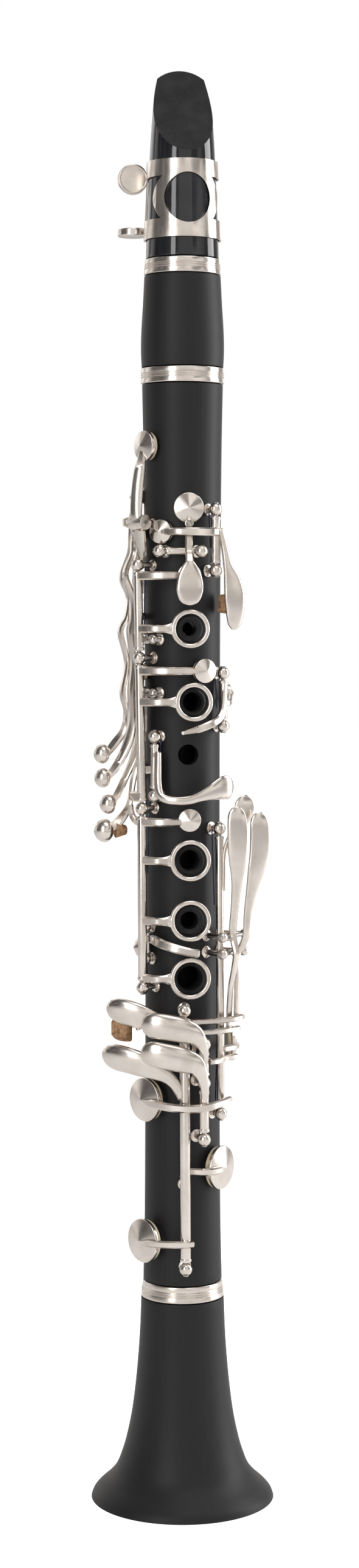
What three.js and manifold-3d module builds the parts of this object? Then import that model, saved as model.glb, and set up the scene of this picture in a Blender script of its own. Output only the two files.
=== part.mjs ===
// A small Boehm-system clarinet, standing on its bell, in millimetres with +Z up.
// The bore axis is the Z axis, the finger holes face -Y and the reed faces +Y.
import * as THREE from 'three';
import { mergeVertices } from 'three/addons/utils/BufferGeometryUtils.js';
import Module from 'manifold-3d';

const wasm = await Module();
wasm.setup();

// Lengths of the joints of the tube, from the bell rim upwards
const bellLength = 68.7;
const bellRingLength = 6.1;
const bodyLength = 306.7;
const barrelLength = 42.8;
const barrelRingLength = 5.4;
const mouthpieceLength = 65.7;

// Radii of the tube
const boreRadius = 6.65;
const bodyRadius = 12.9;
const bellRimRadius = 31.3;
const bellThroatRadius = 14.2;
const bellWall = 2.4;
const barrelRadius = 14.2;
const ringBead = 0.45;
const mouthpieceRadius = 12.6;

// Tenons and their cork
const lowerTenonLength = 13.4;
const upperTenonLength = 12.6;
const mouthpieceTenonLength = 12.2;
const tenonRadius = 9.3;
const corkThickness = 1.0;
const corkMargin = 2.4;

// Clearances: between pieces that touch, and past a surface that a cut goes through
const gap = 0.3;
const overrun = 2;

// Hinge hardware
const keyHeight = 7.3;
const postBall = 2.2;
const smallBall = 1.75;
const postStem = 1.15;
const flangeRadius = 2.1;
const saddleFlange = 1.5;
const flangeThickness = 0.55;
const rodRadius = 0.7;
const rodClearance = 0.3;
const tubeRadius = 1.55;
const thickTubeRadius = 1.75;
const thinTubeRadius = 1.35;
const registerTube = 2.4;

// Key metal
const armWidth = 3.1;
const armThickness = 1.6;
const touchWidth = 8.8;
const touchThickness = 4.2;
const trillTouch = 3.7;
const cupRim = 1.1;
const cupCone = 1.7;
const padThickness = 1.1;
const padInset = 0.35;
const ringThickness = 1.5;
const ringHeight = 17.2;
const ringInner = 4.95;
const ringOuter = 6.65;
const largeRingInner = 5.4;
const largeRingOuter = 7.05;

// Tone holes
const chimneyHeight = 3.1;
const seatWall = 1.1;
const seatRise = 0.45;
const padTravel = 1.9;
const ringTravel = 1.4;

// Radii of the pad cups
const registerCup = 5.2;
const throatCup = 5.15;
const gsharpCup = 4.1;
const smallCup = 4.1;
const lowerCup = 3.9;
const trillCup = 3.1;
const fsharpCup = 6;
const lowCup = 7.35;

// Number of facets round the turned pieces
const roundFacets = 24;
const ringFacets = 16;
const holeFacets = 10;
const cupFacets = 12;
const smallFacets = 8;

// Heights of the joints above the bell rim
const bellRingBottom = bellLength;
const bodyBottom = bellRingBottom + bellRingLength;
const bodyTop = bodyBottom + bodyLength;
const barrelBottom = bodyTop + gap;
const barrelTop = barrelBottom + barrelLength;
const mouthpieceBottom = barrelTop + gap;
const mouthpieceTop = mouthpieceBottom + mouthpieceLength;

const metal = { color: 0xcfc7bd, roughness: 0.22, metalness: 1 };
const blackBody = { color: 0x2e2d2f, roughness: 0.62, metalness: 0 };
const gloss = { color: 0x121317, roughness: 0.12, metalness: 0 };
const corkStuff = { color: 0xb78a5e, roughness: 0.9, metalness: 0 };
const padSkin = { color: 0xd9cbb0, roughness: 0.8, metalness: 0 };
const cane = { color: 0xd8b978, roughness: 0.6, metalness: 0 };

const group = new THREE.Group();
group.name = 'clarinet';

// Outline of the body: share of its length, then share of bodyRadius
const bodyOutlineShares = [
  [0, 1.046], [0.05, 1.02], [0.15, 1], [0.47, 0.99], [0.75, 1.008], [0.915, 1.04], [1, 1.078]
];

// Outline of the bell: share of its length, then share of the flare from throat to rim
const bellOutlineShares = [
  [0, 1], [0.03, 0.95], [0.062, 0.83], [0.1, 0.66], [0.15, 0.5], [0.22, 0.385], [0.3, 0.29],
  [0.42, 0.19], [0.56, 0.115], [0.72, 0.055], [0.86, 0.02], [1, 0]
];

function interpolate(table, share) {
  const index = Math.max(1, table.findIndex(([place]) => place >= share));
  const [startPlace, startValue] = table[index - 1];
  const [endPlace, endValue] = table[index];
  return startValue + (endValue - startValue) * (share - startPlace) / (endPlace - startPlace);
}

function heightAlong(alongShare) {
  return bodyBottom + bodyLength * alongShare;
}

function bodyRadiusAt(z) {
  const share = THREE.MathUtils.clamp((z - bodyBottom) / bodyLength, 0, 1);
  return bodyRadius * interpolate(bodyOutlineShares, share);
}

// A point by its angle from the finger holes (towards +X), its distance from the bore axis and its height
function polar(angle, radius, z) {
  const turn = THREE.MathUtils.degToRad(angle);
  return new THREE.Vector3(radius * Math.sin(turn), -radius * Math.cos(turn), z);
}

// A point on the keywork: angle, height over the body as a share of keyHeight, place along the body
function keyPoint([angle, heightShare, alongShare]) {
  return polar(angle, bodyRadius + keyHeight * heightShare, heightAlong(alongShare));
}

function outward(angle) {
  return polar(angle, 1, 0);
}

function toSolid(geometry) {
  const bare = geometry.clone();
  bare.deleteAttribute('normal');
  bare.deleteAttribute('uv');
  const merged = mergeVertices(bare);
  const vertProperties = new Float32Array(merged.attributes.position.array);
  const triVerts = new Uint32Array(merged.index.array);
  return new wasm.Manifold(new wasm.Mesh({ numProp: 3, vertProperties, triVerts }));
}

function fromSolid(manifold) {
  const mesh = manifold.getMesh();
  const geometry = new THREE.BufferGeometry();
  const positions = new Float32Array(mesh.vertProperties);
  geometry.setAttribute('position', new THREE.BufferAttribute(positions, mesh.numProp));
  geometry.setIndex(new THREE.BufferAttribute(new Uint32Array(mesh.triVerts), 1));
  return geometry;
}

// Joins the geometries of a list and cuts another list from them
function carve(added, removed = []) {
  let result = toSolid(added[0]);
  for (const geometry of added.slice(1)) {
    result = result.add(toSolid(geometry));
  }
  for (const geometry of removed) {
    result = result.subtract(toSolid(geometry));
  }
  return fromSolid(result);
}

// Places a mesh so that its geometry turns about the pivot
function addPiece(name, geometry, look, pivot = new THREE.Vector3()) {
  const placed = geometry.clone().translate(-pivot.x, -pivot.y, -pivot.z);
  placed.computeVertexNormals();
  const mesh = new THREE.Mesh(placed, new THREE.MeshStandardMaterial(look));
  mesh.name = name;
  mesh.position.copy(pivot);
  group.add(mesh);
}

// A solid of revolution about the bore axis from pairs of radius and height
function turned(pairs, facets = roundFacets) {
  const outline = pairs.map(([radius, z]) => new THREE.Vector2(radius, z));
  return new THREE.LatheGeometry(outline, facets).rotateX(Math.PI / 2);
}

// Closes a wall's outline on itself before it is turned
function turnedWall(pairs, facets = roundFacets) {
  return turned([...pairs, pairs[0]], facets);
}

// Stands a piece made about local +Z outwards on the tube
function standOut(geometry, angle, radius, z) {
  const turn = new THREE.Quaternion().setFromUnitVectors(new THREE.Vector3(0, 0, 1), outward(angle));
  const place = polar(angle, radius, z);
  return geometry.applyQuaternion(turn).translate(place.x, place.y, place.z);
}

function cylinderBetween(start, end, radius, facets = smallFacets) {
  const along = new THREE.Vector3().subVectors(end, start);
  const geometry = new THREE.CylinderGeometry(radius, radius, along.length(), facets);
  const upright = new THREE.Vector3(0, 1, 0);
  const turn = new THREE.Quaternion().setFromUnitVectors(upright, along.clone().normalize());
  const middle = new THREE.Vector3().addVectors(start, end).multiplyScalar(1 / 2);
  return geometry.applyQuaternion(turn).translate(middle.x, middle.y, middle.z);
}

// A bar lofted through stations of angle, height share, along share, width share and thickness share
function bar(stationShares, fullWidth = armWidth, fullThickness = armThickness, sides = 6, squareness = 0.5) {
  const places = stationShares.map(keyPoint);
  const vertices = [];
  const faces = [];
  stationShares.forEach((station, index) => {
    const before = places[Math.max(index - 1, 0)];
    const after = places[Math.min(index + 1, places.length - 1)];
    const forward = new THREE.Vector3().subVectors(after, before).normalize();
    const radial = outward(station[0]);
    const side = new THREE.Vector3().crossVectors(forward, radial).normalize();
    const up = new THREE.Vector3().crossVectors(side, forward);
    const halfWidth = fullWidth * station[3] / 2;
    const halfThickness = fullThickness * station[4] / 2;
    for (let corner = 0; corner < sides; corner++) {
      const turn = 2 * Math.PI * (corner + (sides - 6) / 4) / sides;
      const across = Math.sign(Math.cos(turn)) * Math.abs(Math.cos(turn)) ** squareness;
      const over = Math.sign(Math.sin(turn)) * Math.abs(Math.sin(turn)) ** squareness;
      const vertex = places[index].clone();
      vertex.addScaledVector(side, halfWidth * across);
      vertex.addScaledVector(up, halfThickness * over);
      vertices.push(vertex.x, vertex.y, vertex.z);
    }
  });
  const last = (stationShares.length - 1) * sides;
  for (let corner = 0; corner < sides; corner++) {
    const next = (corner + 1) % sides;
    for (let start = 0; start < last; start += sides) {
      faces.push(start + corner, start + sides + next, start + next);
      faces.push(start + corner, start + sides + corner, start + sides + next);
    }
  }
  for (let corner = 1; corner < sides - 1; corner++) {
    faces.push(0, corner, corner + 1);
    faces.push(last, last + corner + 1, last + corner);
  }
  const geometry = new THREE.BufferGeometry();
  geometry.setAttribute('position', new THREE.Float32BufferAttribute(vertices, 3));
  geometry.setIndex(faces);
  return geometry;
}

// A rounded finger touch, lofted with an oval section
function touch(stationShares, fullWidth = touchWidth, fullThickness = touchThickness) {
  return bar(stationShares, fullWidth, fullThickness, 8, 0.85);
}

// A turned post: flange on the body, stem and ball, with the ball's centre at the given distance
function post(angle, ballDistance, z, ball = postBall, flange = flangeRadius) {
  const base = bodyRadiusAt(z) + gap;
  const reach = ballDistance - base;
  const neck = Math.sqrt(ball ** 2 - postStem ** 2);
  const outline = [[0, 0], [flange, 0], [flange, flangeThickness], [postStem, flangeThickness + gap]];
  outline.push([postStem, reach - neck], [ball, reach], [ball * Math.SQRT1_2, reach + ball * Math.SQRT1_2]);
  outline.push([0, reach + ball]);
  return standOut(turned(outline, smallFacets), angle, base, z);
}

// A hinge is a straight line between two points of the keywork
function hingeLine(startShares, endShares) {
  return { start: keyPoint(startShares), end: keyPoint(endShares) };
}

function onHinge(hinge, share) {
  return new THREE.Vector3().lerpVectors(hinge.start, hinge.end, share);
}

function shareAlong(hinge, alongShare) {
  return (heightAlong(alongShare) - hinge.start.z) / (hinge.end.z - hinge.start.z);
}

function postAt(place, ball = postBall, flange = flangeRadius) {
  const angle = THREE.MathUtils.radToDeg(Math.atan2(place.x, -place.y));
  return post(angle, Math.hypot(place.x, place.y), place.z, ball, flange);
}

// Posts at shares of the hinge, joined by the steel rod that the key turns on
function hingePosts(hinge, postShares = [0, 1], ball = postBall) {
  const rod = cylinderBetween(hinge.start, hinge.end, rodRadius);
  return carve([rod, ...postShares.map((share) => postAt(onHinge(hinge, share), ball))]);
}

// The stretch of tube between two posts, clear of their balls
function keyTube(hinge, startShare = 0, endShare = 1, radius = tubeRadius, ball = postBall) {
  const start = onHinge(hinge, startShare);
  const end = onHinge(hinge, endShare);
  const along = new THREE.Vector3().subVectors(end, start).normalize();
  start.addScaledVector(along, ball + gap);
  end.addScaledVector(along, -ball - gap);
  return cylinderBetween(start, end, radius, holeFacets);
}

function keyBore(hinge) {
  const along = new THREE.Vector3().subVectors(hinge.end, hinge.start).normalize();
  const start = hinge.start.clone().addScaledVector(along, -overrun);
  const end = hinge.end.clone().addScaledVector(along, overrun);
  return cylinderBetween(start, end, rodRadius + rodClearance);
}

function finishKey(name, hinge, pieces) {
  addPiece(name, carve(pieces, [keyBore(hinge)]), metal, hinge.start);
}

// Distance from the bore axis of the flat seat round a tone hole
function seatAt(alongShare) {
  return bodyRadiusAt(heightAlong(alongShare)) + seatRise;
}

// A round plate with a low cone; with its pad it hangs the given lift above the seat
function cup(angle, alongShare, radius, lift = 0) {
  const base = seatAt(alongShare) + gap + lift + padThickness + gap;
  const outline = [[0, 0], [radius, 0], [radius, cupRim], [0, cupRim + cupCone]];
  return standOut(turned(outline, cupFacets), angle, base, heightAlong(alongShare));
}

// A small cup with its pad pressed into it
function paddedCup(angle, alongShare, radius, lift = 0) {
  const base = seatAt(alongShare) + gap + lift;
  const padRadius = radius - padInset;
  const rimTop = padThickness + gap + cupRim;
  const outline = [[0, 0], [padRadius, 0], [padRadius, padThickness], [radius, padThickness + gap / 2]];
  outline.push([radius, rimTop], [0, rimTop + cupCone]);
  return standOut(turned(outline, cupFacets - 2), angle, base, heightAlong(alongShare));
}

function addPad(name, angle, alongShare, radius, lift, pivot) {
  const padRadius = radius - padInset;
  const outline = [
    [0, 0], [padRadius - gap, 0], [padRadius, gap], [padRadius, padThickness], [0, padThickness]
  ];
  const base = seatAt(alongShare) + gap + lift;
  const geometry = standOut(turned(outline, cupFacets), angle, base, heightAlong(alongShare));
  addPiece(name, geometry, padSkin, pivot);
}

// A finger ring with a rounded edge
function fingerRing(angle, distance, alongShare, inner, outer) {
  const half = ringThickness / 2;
  const soft = ringThickness / 5;
  const outline = [
    [inner, -half], [outer - soft, -half], [outer, 0], [outer - soft, half], [inner + soft, half]
  ];
  return standOut(turnedWall(outline, ringFacets), angle, distance, heightAlong(alongShare));
}

// Hinges, each by its two ends: angle, height share and share along the body
const leftUpperHinge = hingeLine([-57.9, 1, 0.798], [-54.2, 0.9, 0.5285]);
const leftLowerHinge = hingeLine([-54.2, 0.9, 0.5285], [-53, 0.89, 0.331]);
const csharpHinge = hingeLine([-43.5, 0.52, 0.608], [-43.5, 0.52, 0.5425]);
const throatAHinge = hingeLine([-34.1, 0.72, 0.813], [11.5, 0.72, 0.813]);
const throatGsharpHinge = hingeLine([31, 0.63, 0.8595], [31, 0.63, 0.7915]);
const upperSliverHinge = hingeLine([51, 0.42, 0.678], [51, 0.42, 0.619]);
const registerHinge = hingeLine([-46.5, 0.98, 0.845], [-68, 0.98, 0.845]);
const upperTrillHinge = hingeLine([-45, 0.49, 0.7157], [-95, 0.49, 0.7157]);
const lowerTrillHinge = hingeLine([-45, 0.49, 0.656], [-95, 0.49, 0.656]);
const thumbRingHinge = hingeLine([-141, 0.42, 0.76], [-141, 0.42, 0.695]);
const lowerSliverHinge = hingeLine([-61, 0.36, 0.397], [-61, 0.36, 0.361]);
const rightStackHinge = hingeLine([38.5, 0.56, 0.506], [41.2, 0.56, 0.19]);
const rightTouchHinge = hingeLine([11.6, 1.09, 0.271], [11.6, 1.09, 0.1665]);
const centreHinge = hingeLine([-7, 0.82, 0.3075], [-5.6, 0.82, 0.0235]);
const innerHinge = hingeLine([-6.8, 0.37, 0.3075], [-6.8, 0.37, 0.1135]);
const leftFHinge = hingeLine([66, 1.25, 0.3875], [29, 1.25, 0.3875]);
const leftEHinge = hingeLine([61.8, 1.25, 0.369], [29, 1.25, 0.369]);

// Tone holes: angle, share along the body, hole radius as a share of the cup or ring that covers it
const ringHoleShares = [
  [0, 0.7274, 0.475], [4, 0.6466, 0.65], [0, 0.472, 0.62], [0, 0.4055, 0.55], [0, 0.342, 0.74]
];
const padHoleShares = [
  [-61, 0.93, 0.3, registerCup], [-1.5, 0.861, 0.5, throatCup], [-36, 0.8347, 0.55, gsharpCup],
  [-1.5, 0.786, 0.55, smallCup], [17, 0.681, 0.55, smallCup], [-1, 0.5165, 0.55, lowerCup],
  [90, 0.655, 0.55, trillCup], [-100, 0.568, 0.6, trillCup], [-80, 0.372, 0.6, trillCup],
  [-103, 0.875, 0.6, trillCup], [-84, 0.836, 0.6, trillCup], [-106, 0.681, 0.6, trillCup],
  [-76, 0.679, 0.6, trillCup], [90, 0.261, 0.62, fsharpCup], [-56, 0.206, 0.62, lowCup],
  [47, 0.129, 0.62, lowCup], [-57, 0.05, 0.62, lowCup]
];
const plainHoleRadius = 3.5;
const plainHoleShare = 0.588;
const thumbHoleShare = 0.717;
const thumbTubeOuter = 4.1;
const thumbTubeInner = 3.2;

function ringSizes(index) {
  return index < 2 ? [ringInner, ringOuter] : [largeRingInner, largeRingOuter];
}

function holeCutter(angle, alongShare, radius) {
  const reach = new THREE.Vector3(0, 0, bodyRadius * 2);
  const cutter = cylinderBetween(new THREE.Vector3(), reach, radius, holeFacets);
  return standOut(cutter, angle, 0, heightAlong(alongShare));
}

function raisedRim(angle, alongShare, radius, top) {
  const base = boreRadius + overrun / 2;
  const outline = [[0, 0], [radius, 0], [radius, top - base], [0, top - base]];
  return standOut(turned(outline, holeFacets), angle, base, heightAlong(alongShare));
}

function addBody() {
  const outer = bodyOutlineShares.map(([place, share]) => [bodyRadius * share, heightAlong(place)]);
  const upperTenonTop = bodyTop + upperTenonLength;
  const lowerTenonBottom = bodyBottom - lowerTenonLength;
  const outline = [
    [boreRadius, lowerTenonBottom], [tenonRadius, lowerTenonBottom], [tenonRadius, bodyBottom]
  ];
  outline.push(...outer, [tenonRadius, bodyTop], [tenonRadius, upperTenonTop], [boreRadius, upperTenonTop]);
  const added = [turnedWall(outline)];
  const removed = [];
  ringHoleShares.forEach(([angle, alongShare, share], index) => {
    const [inner] = ringSizes(index);
    const top = bodyRadiusAt(heightAlong(alongShare)) + chimneyHeight;
    added.push(raisedRim(angle, alongShare, inner - gap * 1.5, top));
    removed.push(holeCutter(angle, alongShare, inner * share));
  });
  for (const [angle, alongShare, share, cupRadius] of padHoleShares) {
    const holeRadius = (cupRadius - seatWall) * share;
    added.push(raisedRim(angle, alongShare, holeRadius + seatWall, seatAt(alongShare)));
    removed.push(holeCutter(angle, alongShare, holeRadius));
  }
  removed.push(holeCutter(0, plainHoleShare, plainHoleRadius));
  removed.push(holeCutter(180, thumbHoleShare, thumbTubeOuter + gap * 2));
  addPiece('body_tube', carve(added, removed), blackBody);
}

function addTenonCork(name, bottom, length, innerRadius) {
  const low = bottom + corkMargin;
  const high = bottom + length - corkMargin;
  const outer = innerRadius + corkThickness;
  const outline = [[innerRadius + gap, low], [outer, low], [outer, high], [innerRadius + gap, high]];
  addPiece(name, turnedWall(outline), corkStuff);
}

// A plated ring with three beads round it
function beadedRing(bottom, length, bottomRadius, topRadius, innerRadius) {
  const outline = [[innerRadius, bottom], [bottomRadius, bottom]];
  for (let bead = 0; bead < 3; bead++) {
    for (const [place, rise] of [[0.5, 1], [1, 0]]) {
      const share = (bead + place) / 3;
      const radius = bottomRadius + (topRadius - bottomRadius) * share;
      outline.push([radius + ringBead * rise, bottom + length * share]);
    }
  }
  outline.push([innerRadius, bottom + length]);
  return turnedWall(outline, roundFacets);
}

const socketRadius = tenonRadius + corkThickness + gap;

function addBell() {
  const flare = bellRimRadius - bellThroatRadius;
  const socketBottom = bodyBottom - lowerTenonLength - gap;
  const outer = bellOutlineShares.map(([place, share]) => {
    return [bellThroatRadius + flare * share, bellLength * place];
  });
  const innerFlare = bellRimRadius - bellWall - boreRadius;
  const inner = bellOutlineShares.filter(([place]) => bellLength * place < socketBottom - bellWall * 2)
    .map(([place, share]) => [boreRadius + gap + innerFlare * share, bellLength * place]);
  const outline = [...inner.reverse(), ...outer];
  outline.push([socketRadius, bellLength], [socketRadius, socketBottom], [boreRadius + gap, socketBottom]);
  addPiece('bell', turnedWall(outline), blackBody);
  const ringLength = bellRingLength - gap * 2;
  const topEdge = bodyRadiusAt(bodyBottom);
  const ring = beadedRing(bellRingBottom + gap, ringLength, bellThroatRadius, topEdge, socketRadius);
  addPiece('bell_ring', ring, metal);
}

// Outline of the barrel between its rings: share of the length, then share of barrelRadius
const barrelOutlineShares = [[0, 0.99], [0.18, 1.007], [0.4, 0.998], [0.7, 0.958], [1, 0.925]];

function addBarrel() {
  const low = barrelBottom + barrelRingLength + gap;
  const high = barrelTop - barrelRingLength - gap;
  const sleeve = socketRadius + gap * 4;
  const outer = barrelOutlineShares.map(([place, share]) => {
    return [barrelRadius * share, low + (high - low) * place];
  });
  const lowerSeat = barrelBottom + upperTenonLength + gap;
  const upperSeat = barrelTop - mouthpieceTenonLength - gap;
  const outline = [[socketRadius, barrelBottom], [sleeve, barrelBottom], [sleeve, low]];
  outline.push(...outer, [sleeve, high], [sleeve, barrelTop], [socketRadius, barrelTop]);
  outline.push([socketRadius, upperSeat], [boreRadius, upperSeat], [boreRadius, lowerSeat],
    [socketRadius, lowerSeat]);
  addPiece('barrel', turnedWall(outline), blackBody);
  const bottomEdge = barrelRadius * 0.985;
  const ringInside = sleeve + gap;
  const bottomRing = beadedRing(barrelBottom, barrelRingLength, bottomEdge, bottomEdge, ringInside);
  addPiece('barrel_bottom_ring', bottomRing, metal);
  const [lowEdge, highEdge] = [barrelRadius * 0.915, barrelRadius * 0.885];
  const topRing = beadedRing(barrelTop - barrelRingLength, barrelRingLength, lowEdge, highEdge, ringInside);
  addPiece('barrel_top_ring', topRing, metal);
}

// The mouthpiece: tapering tube, slanted beak in front, flat table and window behind
const mouthpieceOutlineShares = [
  [0, 1], [0.1, 0.985], [0.55, 0.89], [0.8, 0.8], [0.94, 0.7], [0.985, 0.62], [1, 0.5]
];
const beakStartShare = 0.54;
const tipThickness = 1.1;
const tableDistance = 9.4;
const windowWidth = 9.5;
const windowShares = [0.38, 0.955];
const tipGap = 0.9;
const reedThickness = 2.9;
const reedWidth = 12.2;
const reedStartShare = 0.06;

// A wedge or slab seen from the side: points are pairs of Y and Z, spread evenly across X
function sideSlab(pairs, width) {
  const outline = new THREE.Shape(pairs.map(([y, z]) => new THREE.Vector2(y, z)));
  const slab = new THREE.ExtrudeGeometry(outline, { depth: width, bevelEnabled: false });
  return slab.translate(0, 0, -width / 2).rotateY(Math.PI / 2).rotateX(Math.PI / 2);
}

function addMouthpiece() {
  const climb = (share) => mouthpieceBottom + mouthpieceLength * share;
  const outer = mouthpieceOutlineShares.map(([place, share]) => [mouthpieceRadius * share, climb(place)]);
  const tenonBottom = mouthpieceBottom - mouthpieceTenonLength;
  const outline = [[0, tenonBottom], [tenonRadius, tenonBottom], [tenonRadius, mouthpieceBottom], ...outer];
  outline.push([0, mouthpieceTop]);
  const wide = mouthpieceRadius * 3;
  const far = mouthpieceRadius * 2;
  const lip = tableDistance - tipGap - tipThickness;
  const frontAtBeak = mouthpieceRadius * 0.89;
  const beak = sideSlab([
    [-frontAtBeak - gap, climb(beakStartShare)], [lip, mouthpieceTop + gap],
    [lip, mouthpieceTop + overrun], [-far, mouthpieceTop + overrun], [-far, climb(beakStartShare)]
  ], wide);
  const table = sideSlab([
    [tableDistance, climb(reedStartShare)], [far, climb(reedStartShare)], [far, mouthpieceTop + overrun],
    [tableDistance - tipGap, mouthpieceTop + overrun], [tableDistance, climb(windowShares[0])]
  ], wide);
  const chamberTop = climb(windowShares[1]);
  const chamber = sideSlab([
    [-boreRadius * 0.8, climb(windowShares[0])], [far, climb(windowShares[0])], [far, chamberTop],
    [tableDistance - tipGap * 2, chamberTop], [boreRadius * 0.2, climb(0.7)]
  ], windowWidth);
  const boreLow = tenonBottom - overrun;
  const boreHigh = climb(0.5);
  const boreOutline = [[0, boreLow], [boreRadius, boreLow], [boreRadius, boreHigh], [0, boreHigh]];
  const bore = turned(boreOutline, ringFacets);
  addPiece('mouthpiece', carve([turned(outline)], [beak, table, chamber, bore]), gloss);
  const reedBack = tableDistance + gap;
  const reed = sideSlab([
    [reedBack, climb(reedStartShare) + gap], [reedBack + reedThickness, climb(reedStartShare) + gap],
    [reedBack + reedThickness, climb(0.5)], [reedBack - tipGap + gap * 2, mouthpieceTop - gap],
    [reedBack - tipGap + gap, mouthpieceTop - gap], [reedBack, climb(windowShares[0])]
  ], reedWidth);
  const keepRadius = mouthpieceRadius * 0.97;
  const keep = turned([
    [0, mouthpieceBottom], [keepRadius, mouthpieceBottom], [keepRadius * 0.84, mouthpieceTop],
    [0, mouthpieceTop]
  ]);
  const shaped = fromSolid(toSolid(reed).intersect(toSolid(keep)));
  addPiece('reed', shaped, cane);
}

// The ligature: a thin tapered band with an oval opening in front, side cut-outs and two screws behind
const ligatureBottomShare = 0.095;
const ligatureTopShare = 0.503;
const ligatureWall = 0.6;
const ligatureRelief = 0.35;
const ligatureStripShares = [0.24, 0.785];
const ovalHalfWidth = 7.9;
const ovalHalfHeight = 8.6;
const ovalFrameWidth = 3.2;
const lugRadius = 2.1;
const lugLength = 4.6;
const lugSpacing = 3.2;
const screwRadius = 1.1;
const screwHeadRadius = 5.3;
const screwHeadThickness = 2.7;
const screwNeck = 3.6;

function ligaturePlaces() {
  const low = mouthpieceBottom + mouthpieceLength * ligatureBottomShare;
  const high = mouthpieceBottom + mouthpieceLength * ligatureTopShare;
  const screwHeights = [0.165, 0.865].map((share) => low + (high - low) * share);
  return { low, high, screwHeights, lugDistance: tableDistance + reedThickness + lugRadius + gap * 2 };
}

function mouthpieceRadiusAt(z) {
  return mouthpieceRadius * interpolate(mouthpieceOutlineShares, (z - mouthpieceBottom) / mouthpieceLength);
}

function addLigature() {
  const { low, high, screwHeights, lugDistance } = ligaturePlaces();
  const innerLow = mouthpieceRadiusAt(low) + ligatureRelief;
  const innerHigh = mouthpieceRadiusAt(high) + ligatureRelief;
  const outline = [
    [innerLow, low], [innerLow + ligatureWall, low], [innerHigh + ligatureWall, high], [innerHigh, high]
  ];
  const middle = (low + high) / 2;
  const deep = mouthpieceRadius * 2;
  const removed = [];
  const oval = new THREE.CylinderGeometry(ovalHalfWidth, ovalHalfWidth, deep, holeFacets * 2);
  oval.scale(1, 1, ovalHalfHeight / ovalHalfWidth).translate(0, -deep / 2, middle);
  removed.push(oval);
  const [lowStrip, highStrip] = ligatureStripShares.map((share) => low + (high - low) * share);
  const sideWindow = new THREE.BoxGeometry(deep * 2, deep, highStrip - lowStrip)
    .translate(0, -deep * 0.35, (lowStrip + highStrip) / 2);
  const frame = new THREE.CylinderGeometry(1, 1, deep, holeFacets * 2);
  frame.scale(ovalHalfWidth + ovalFrameWidth, 1, ovalHalfHeight + ovalFrameWidth);
  frame.translate(0, -deep / 2, middle);
  removed.push(fromSolid(toSolid(sideWindow).subtract(toSolid(frame))));
  const slot = new THREE.BoxGeometry(lugSpacing, deep, high - low + overrun).translate(0, deep / 2, middle);
  removed.push(slot);
  const added = [turnedWall(outline)];
  for (const z of screwHeights) {
    for (const side of [-1, 1]) {
      const start = new THREE.Vector3(side * lugSpacing / 2, lugDistance, z);
      const end = new THREE.Vector3(side * (lugSpacing / 2 + lugLength), lugDistance, z);
      added.push(cylinderBetween(start, end, lugRadius));
      const foot = new THREE.BoxGeometry(lugLength, lugRadius * 2, lugRadius * 1.6);
      added.push(foot.translate(side * (lugSpacing + lugLength) / 2, lugDistance - lugRadius, z));
      const outerEnd = new THREE.Vector3(side * (lugSpacing + lugLength * 2), lugDistance, z);
      const middleEnd = new THREE.Vector3(0, lugDistance, z);
      removed.push(cylinderBetween(middleEnd, outerEnd, screwRadius + rodClearance));
    }
  }
  const clearTube = turned([[0, low - gap], [innerLow, low - gap], [innerHigh, high + gap], [0, high + gap]]);
  removed.push(clearTube);
  addPiece('ligature_band', carve(added, removed), metal);
  const names = ['ligature_screw_lower', 'ligature_screw_upper'];
  screwHeights.forEach((z, index) => {
    const reach = lugSpacing / 2 + lugLength;
    const neckEnd = -reach - screwNeck;
    const shankEnd = new THREE.Vector3(neckEnd - screwRadius, lugDistance, z);
    const shank = cylinderBetween(new THREE.Vector3(reach, lugDistance, z), shankEnd, screwRadius);
    const face = index === 0 ? new THREE.Vector3(0, 0, 1) : new THREE.Vector3(0, 1, 0);
    const centre = new THREE.Vector3(neckEnd - screwHeadRadius, lugDistance, z);
    const low = centre.clone().addScaledVector(face, -screwHeadThickness / 2);
    const high = centre.clone().addScaledVector(face, screwHeadThickness / 2);
    const head = cylinderBetween(low, high, screwHeadRadius, ringFacets);
    addPiece(names[index], carve([shank, head]), metal, new THREE.Vector3(0, lugDistance, z));
  });
}

// Upper joint keys
function addRegisterKey() {
  const middle = onHinge(registerHinge, 1 / 2);
  const middleAngle = THREE.MathUtils.radToDeg(Math.atan2(middle.x, -middle.y));
  const [tubeStart, tubeEnd] = [onHinge(registerHinge, 0.02), onHinge(registerHinge, 0.98)];
  const hingeTube = cylinderBetween(tubeStart, tubeEnd, registerTube, cupFacets);
  const upperArm = bar([
    [-57, 1.2, 0.845, 0.9, 1], [-57.5, 1.27, 0.856, 0.9, 0.9], [-59, 1.05, 0.88, 0.8, 0.9],
    [-60, 0.8, 0.905, 0.7, 0.9], [-61, 0.62, 0.922, 0.5, 0.8], [-61, 0.52, 0.932, 0.3, 0.5]
  ]);
  const lowerArm = bar([
    [-62, 0.98, 0.838, 0.8, 1], [-64, 0.75, 0.824, 0.85, 1], [-67, 0.55, 0.811, 0.9, 1],
    [-74, 0.5, 0.801, 1, 1], [-86, 0.48, 0.795, 1, 1], [-98, 0.48, 0.79, 1.2, 1],
    [-109, 0.51, 0.785, 2, 1.05], [-120, 0.54, 0.78, 2.5, 1.1], [-130, 0.53, 0.776, 2.2, 1],
    [-138, 0.5, 0.773, 1, 0.8]
  ]);
  const socket = new THREE.SphereGeometry(smallBall + rodClearance * 1.5, holeFacets, smallFacets);
  socket.translate(middle.x, middle.y, middle.z);
  const stemRoom = postStem + rodClearance * 2;
  const stemSlot = cylinderBetween(polar(middleAngle, bodyRadius, middle.z), middle, stemRoom);
  const pieces = [hingeTube, upperArm, lowerArm, cup(-61, 0.93, registerCup)];
  const removed = [keyBore(registerHinge), socket, stemSlot];
  addPiece('register_key', carve(pieces, removed), metal, registerHinge.start);
  addPad('register_pad', -61, 0.93, registerCup, 0, registerHinge.start);
}

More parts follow.
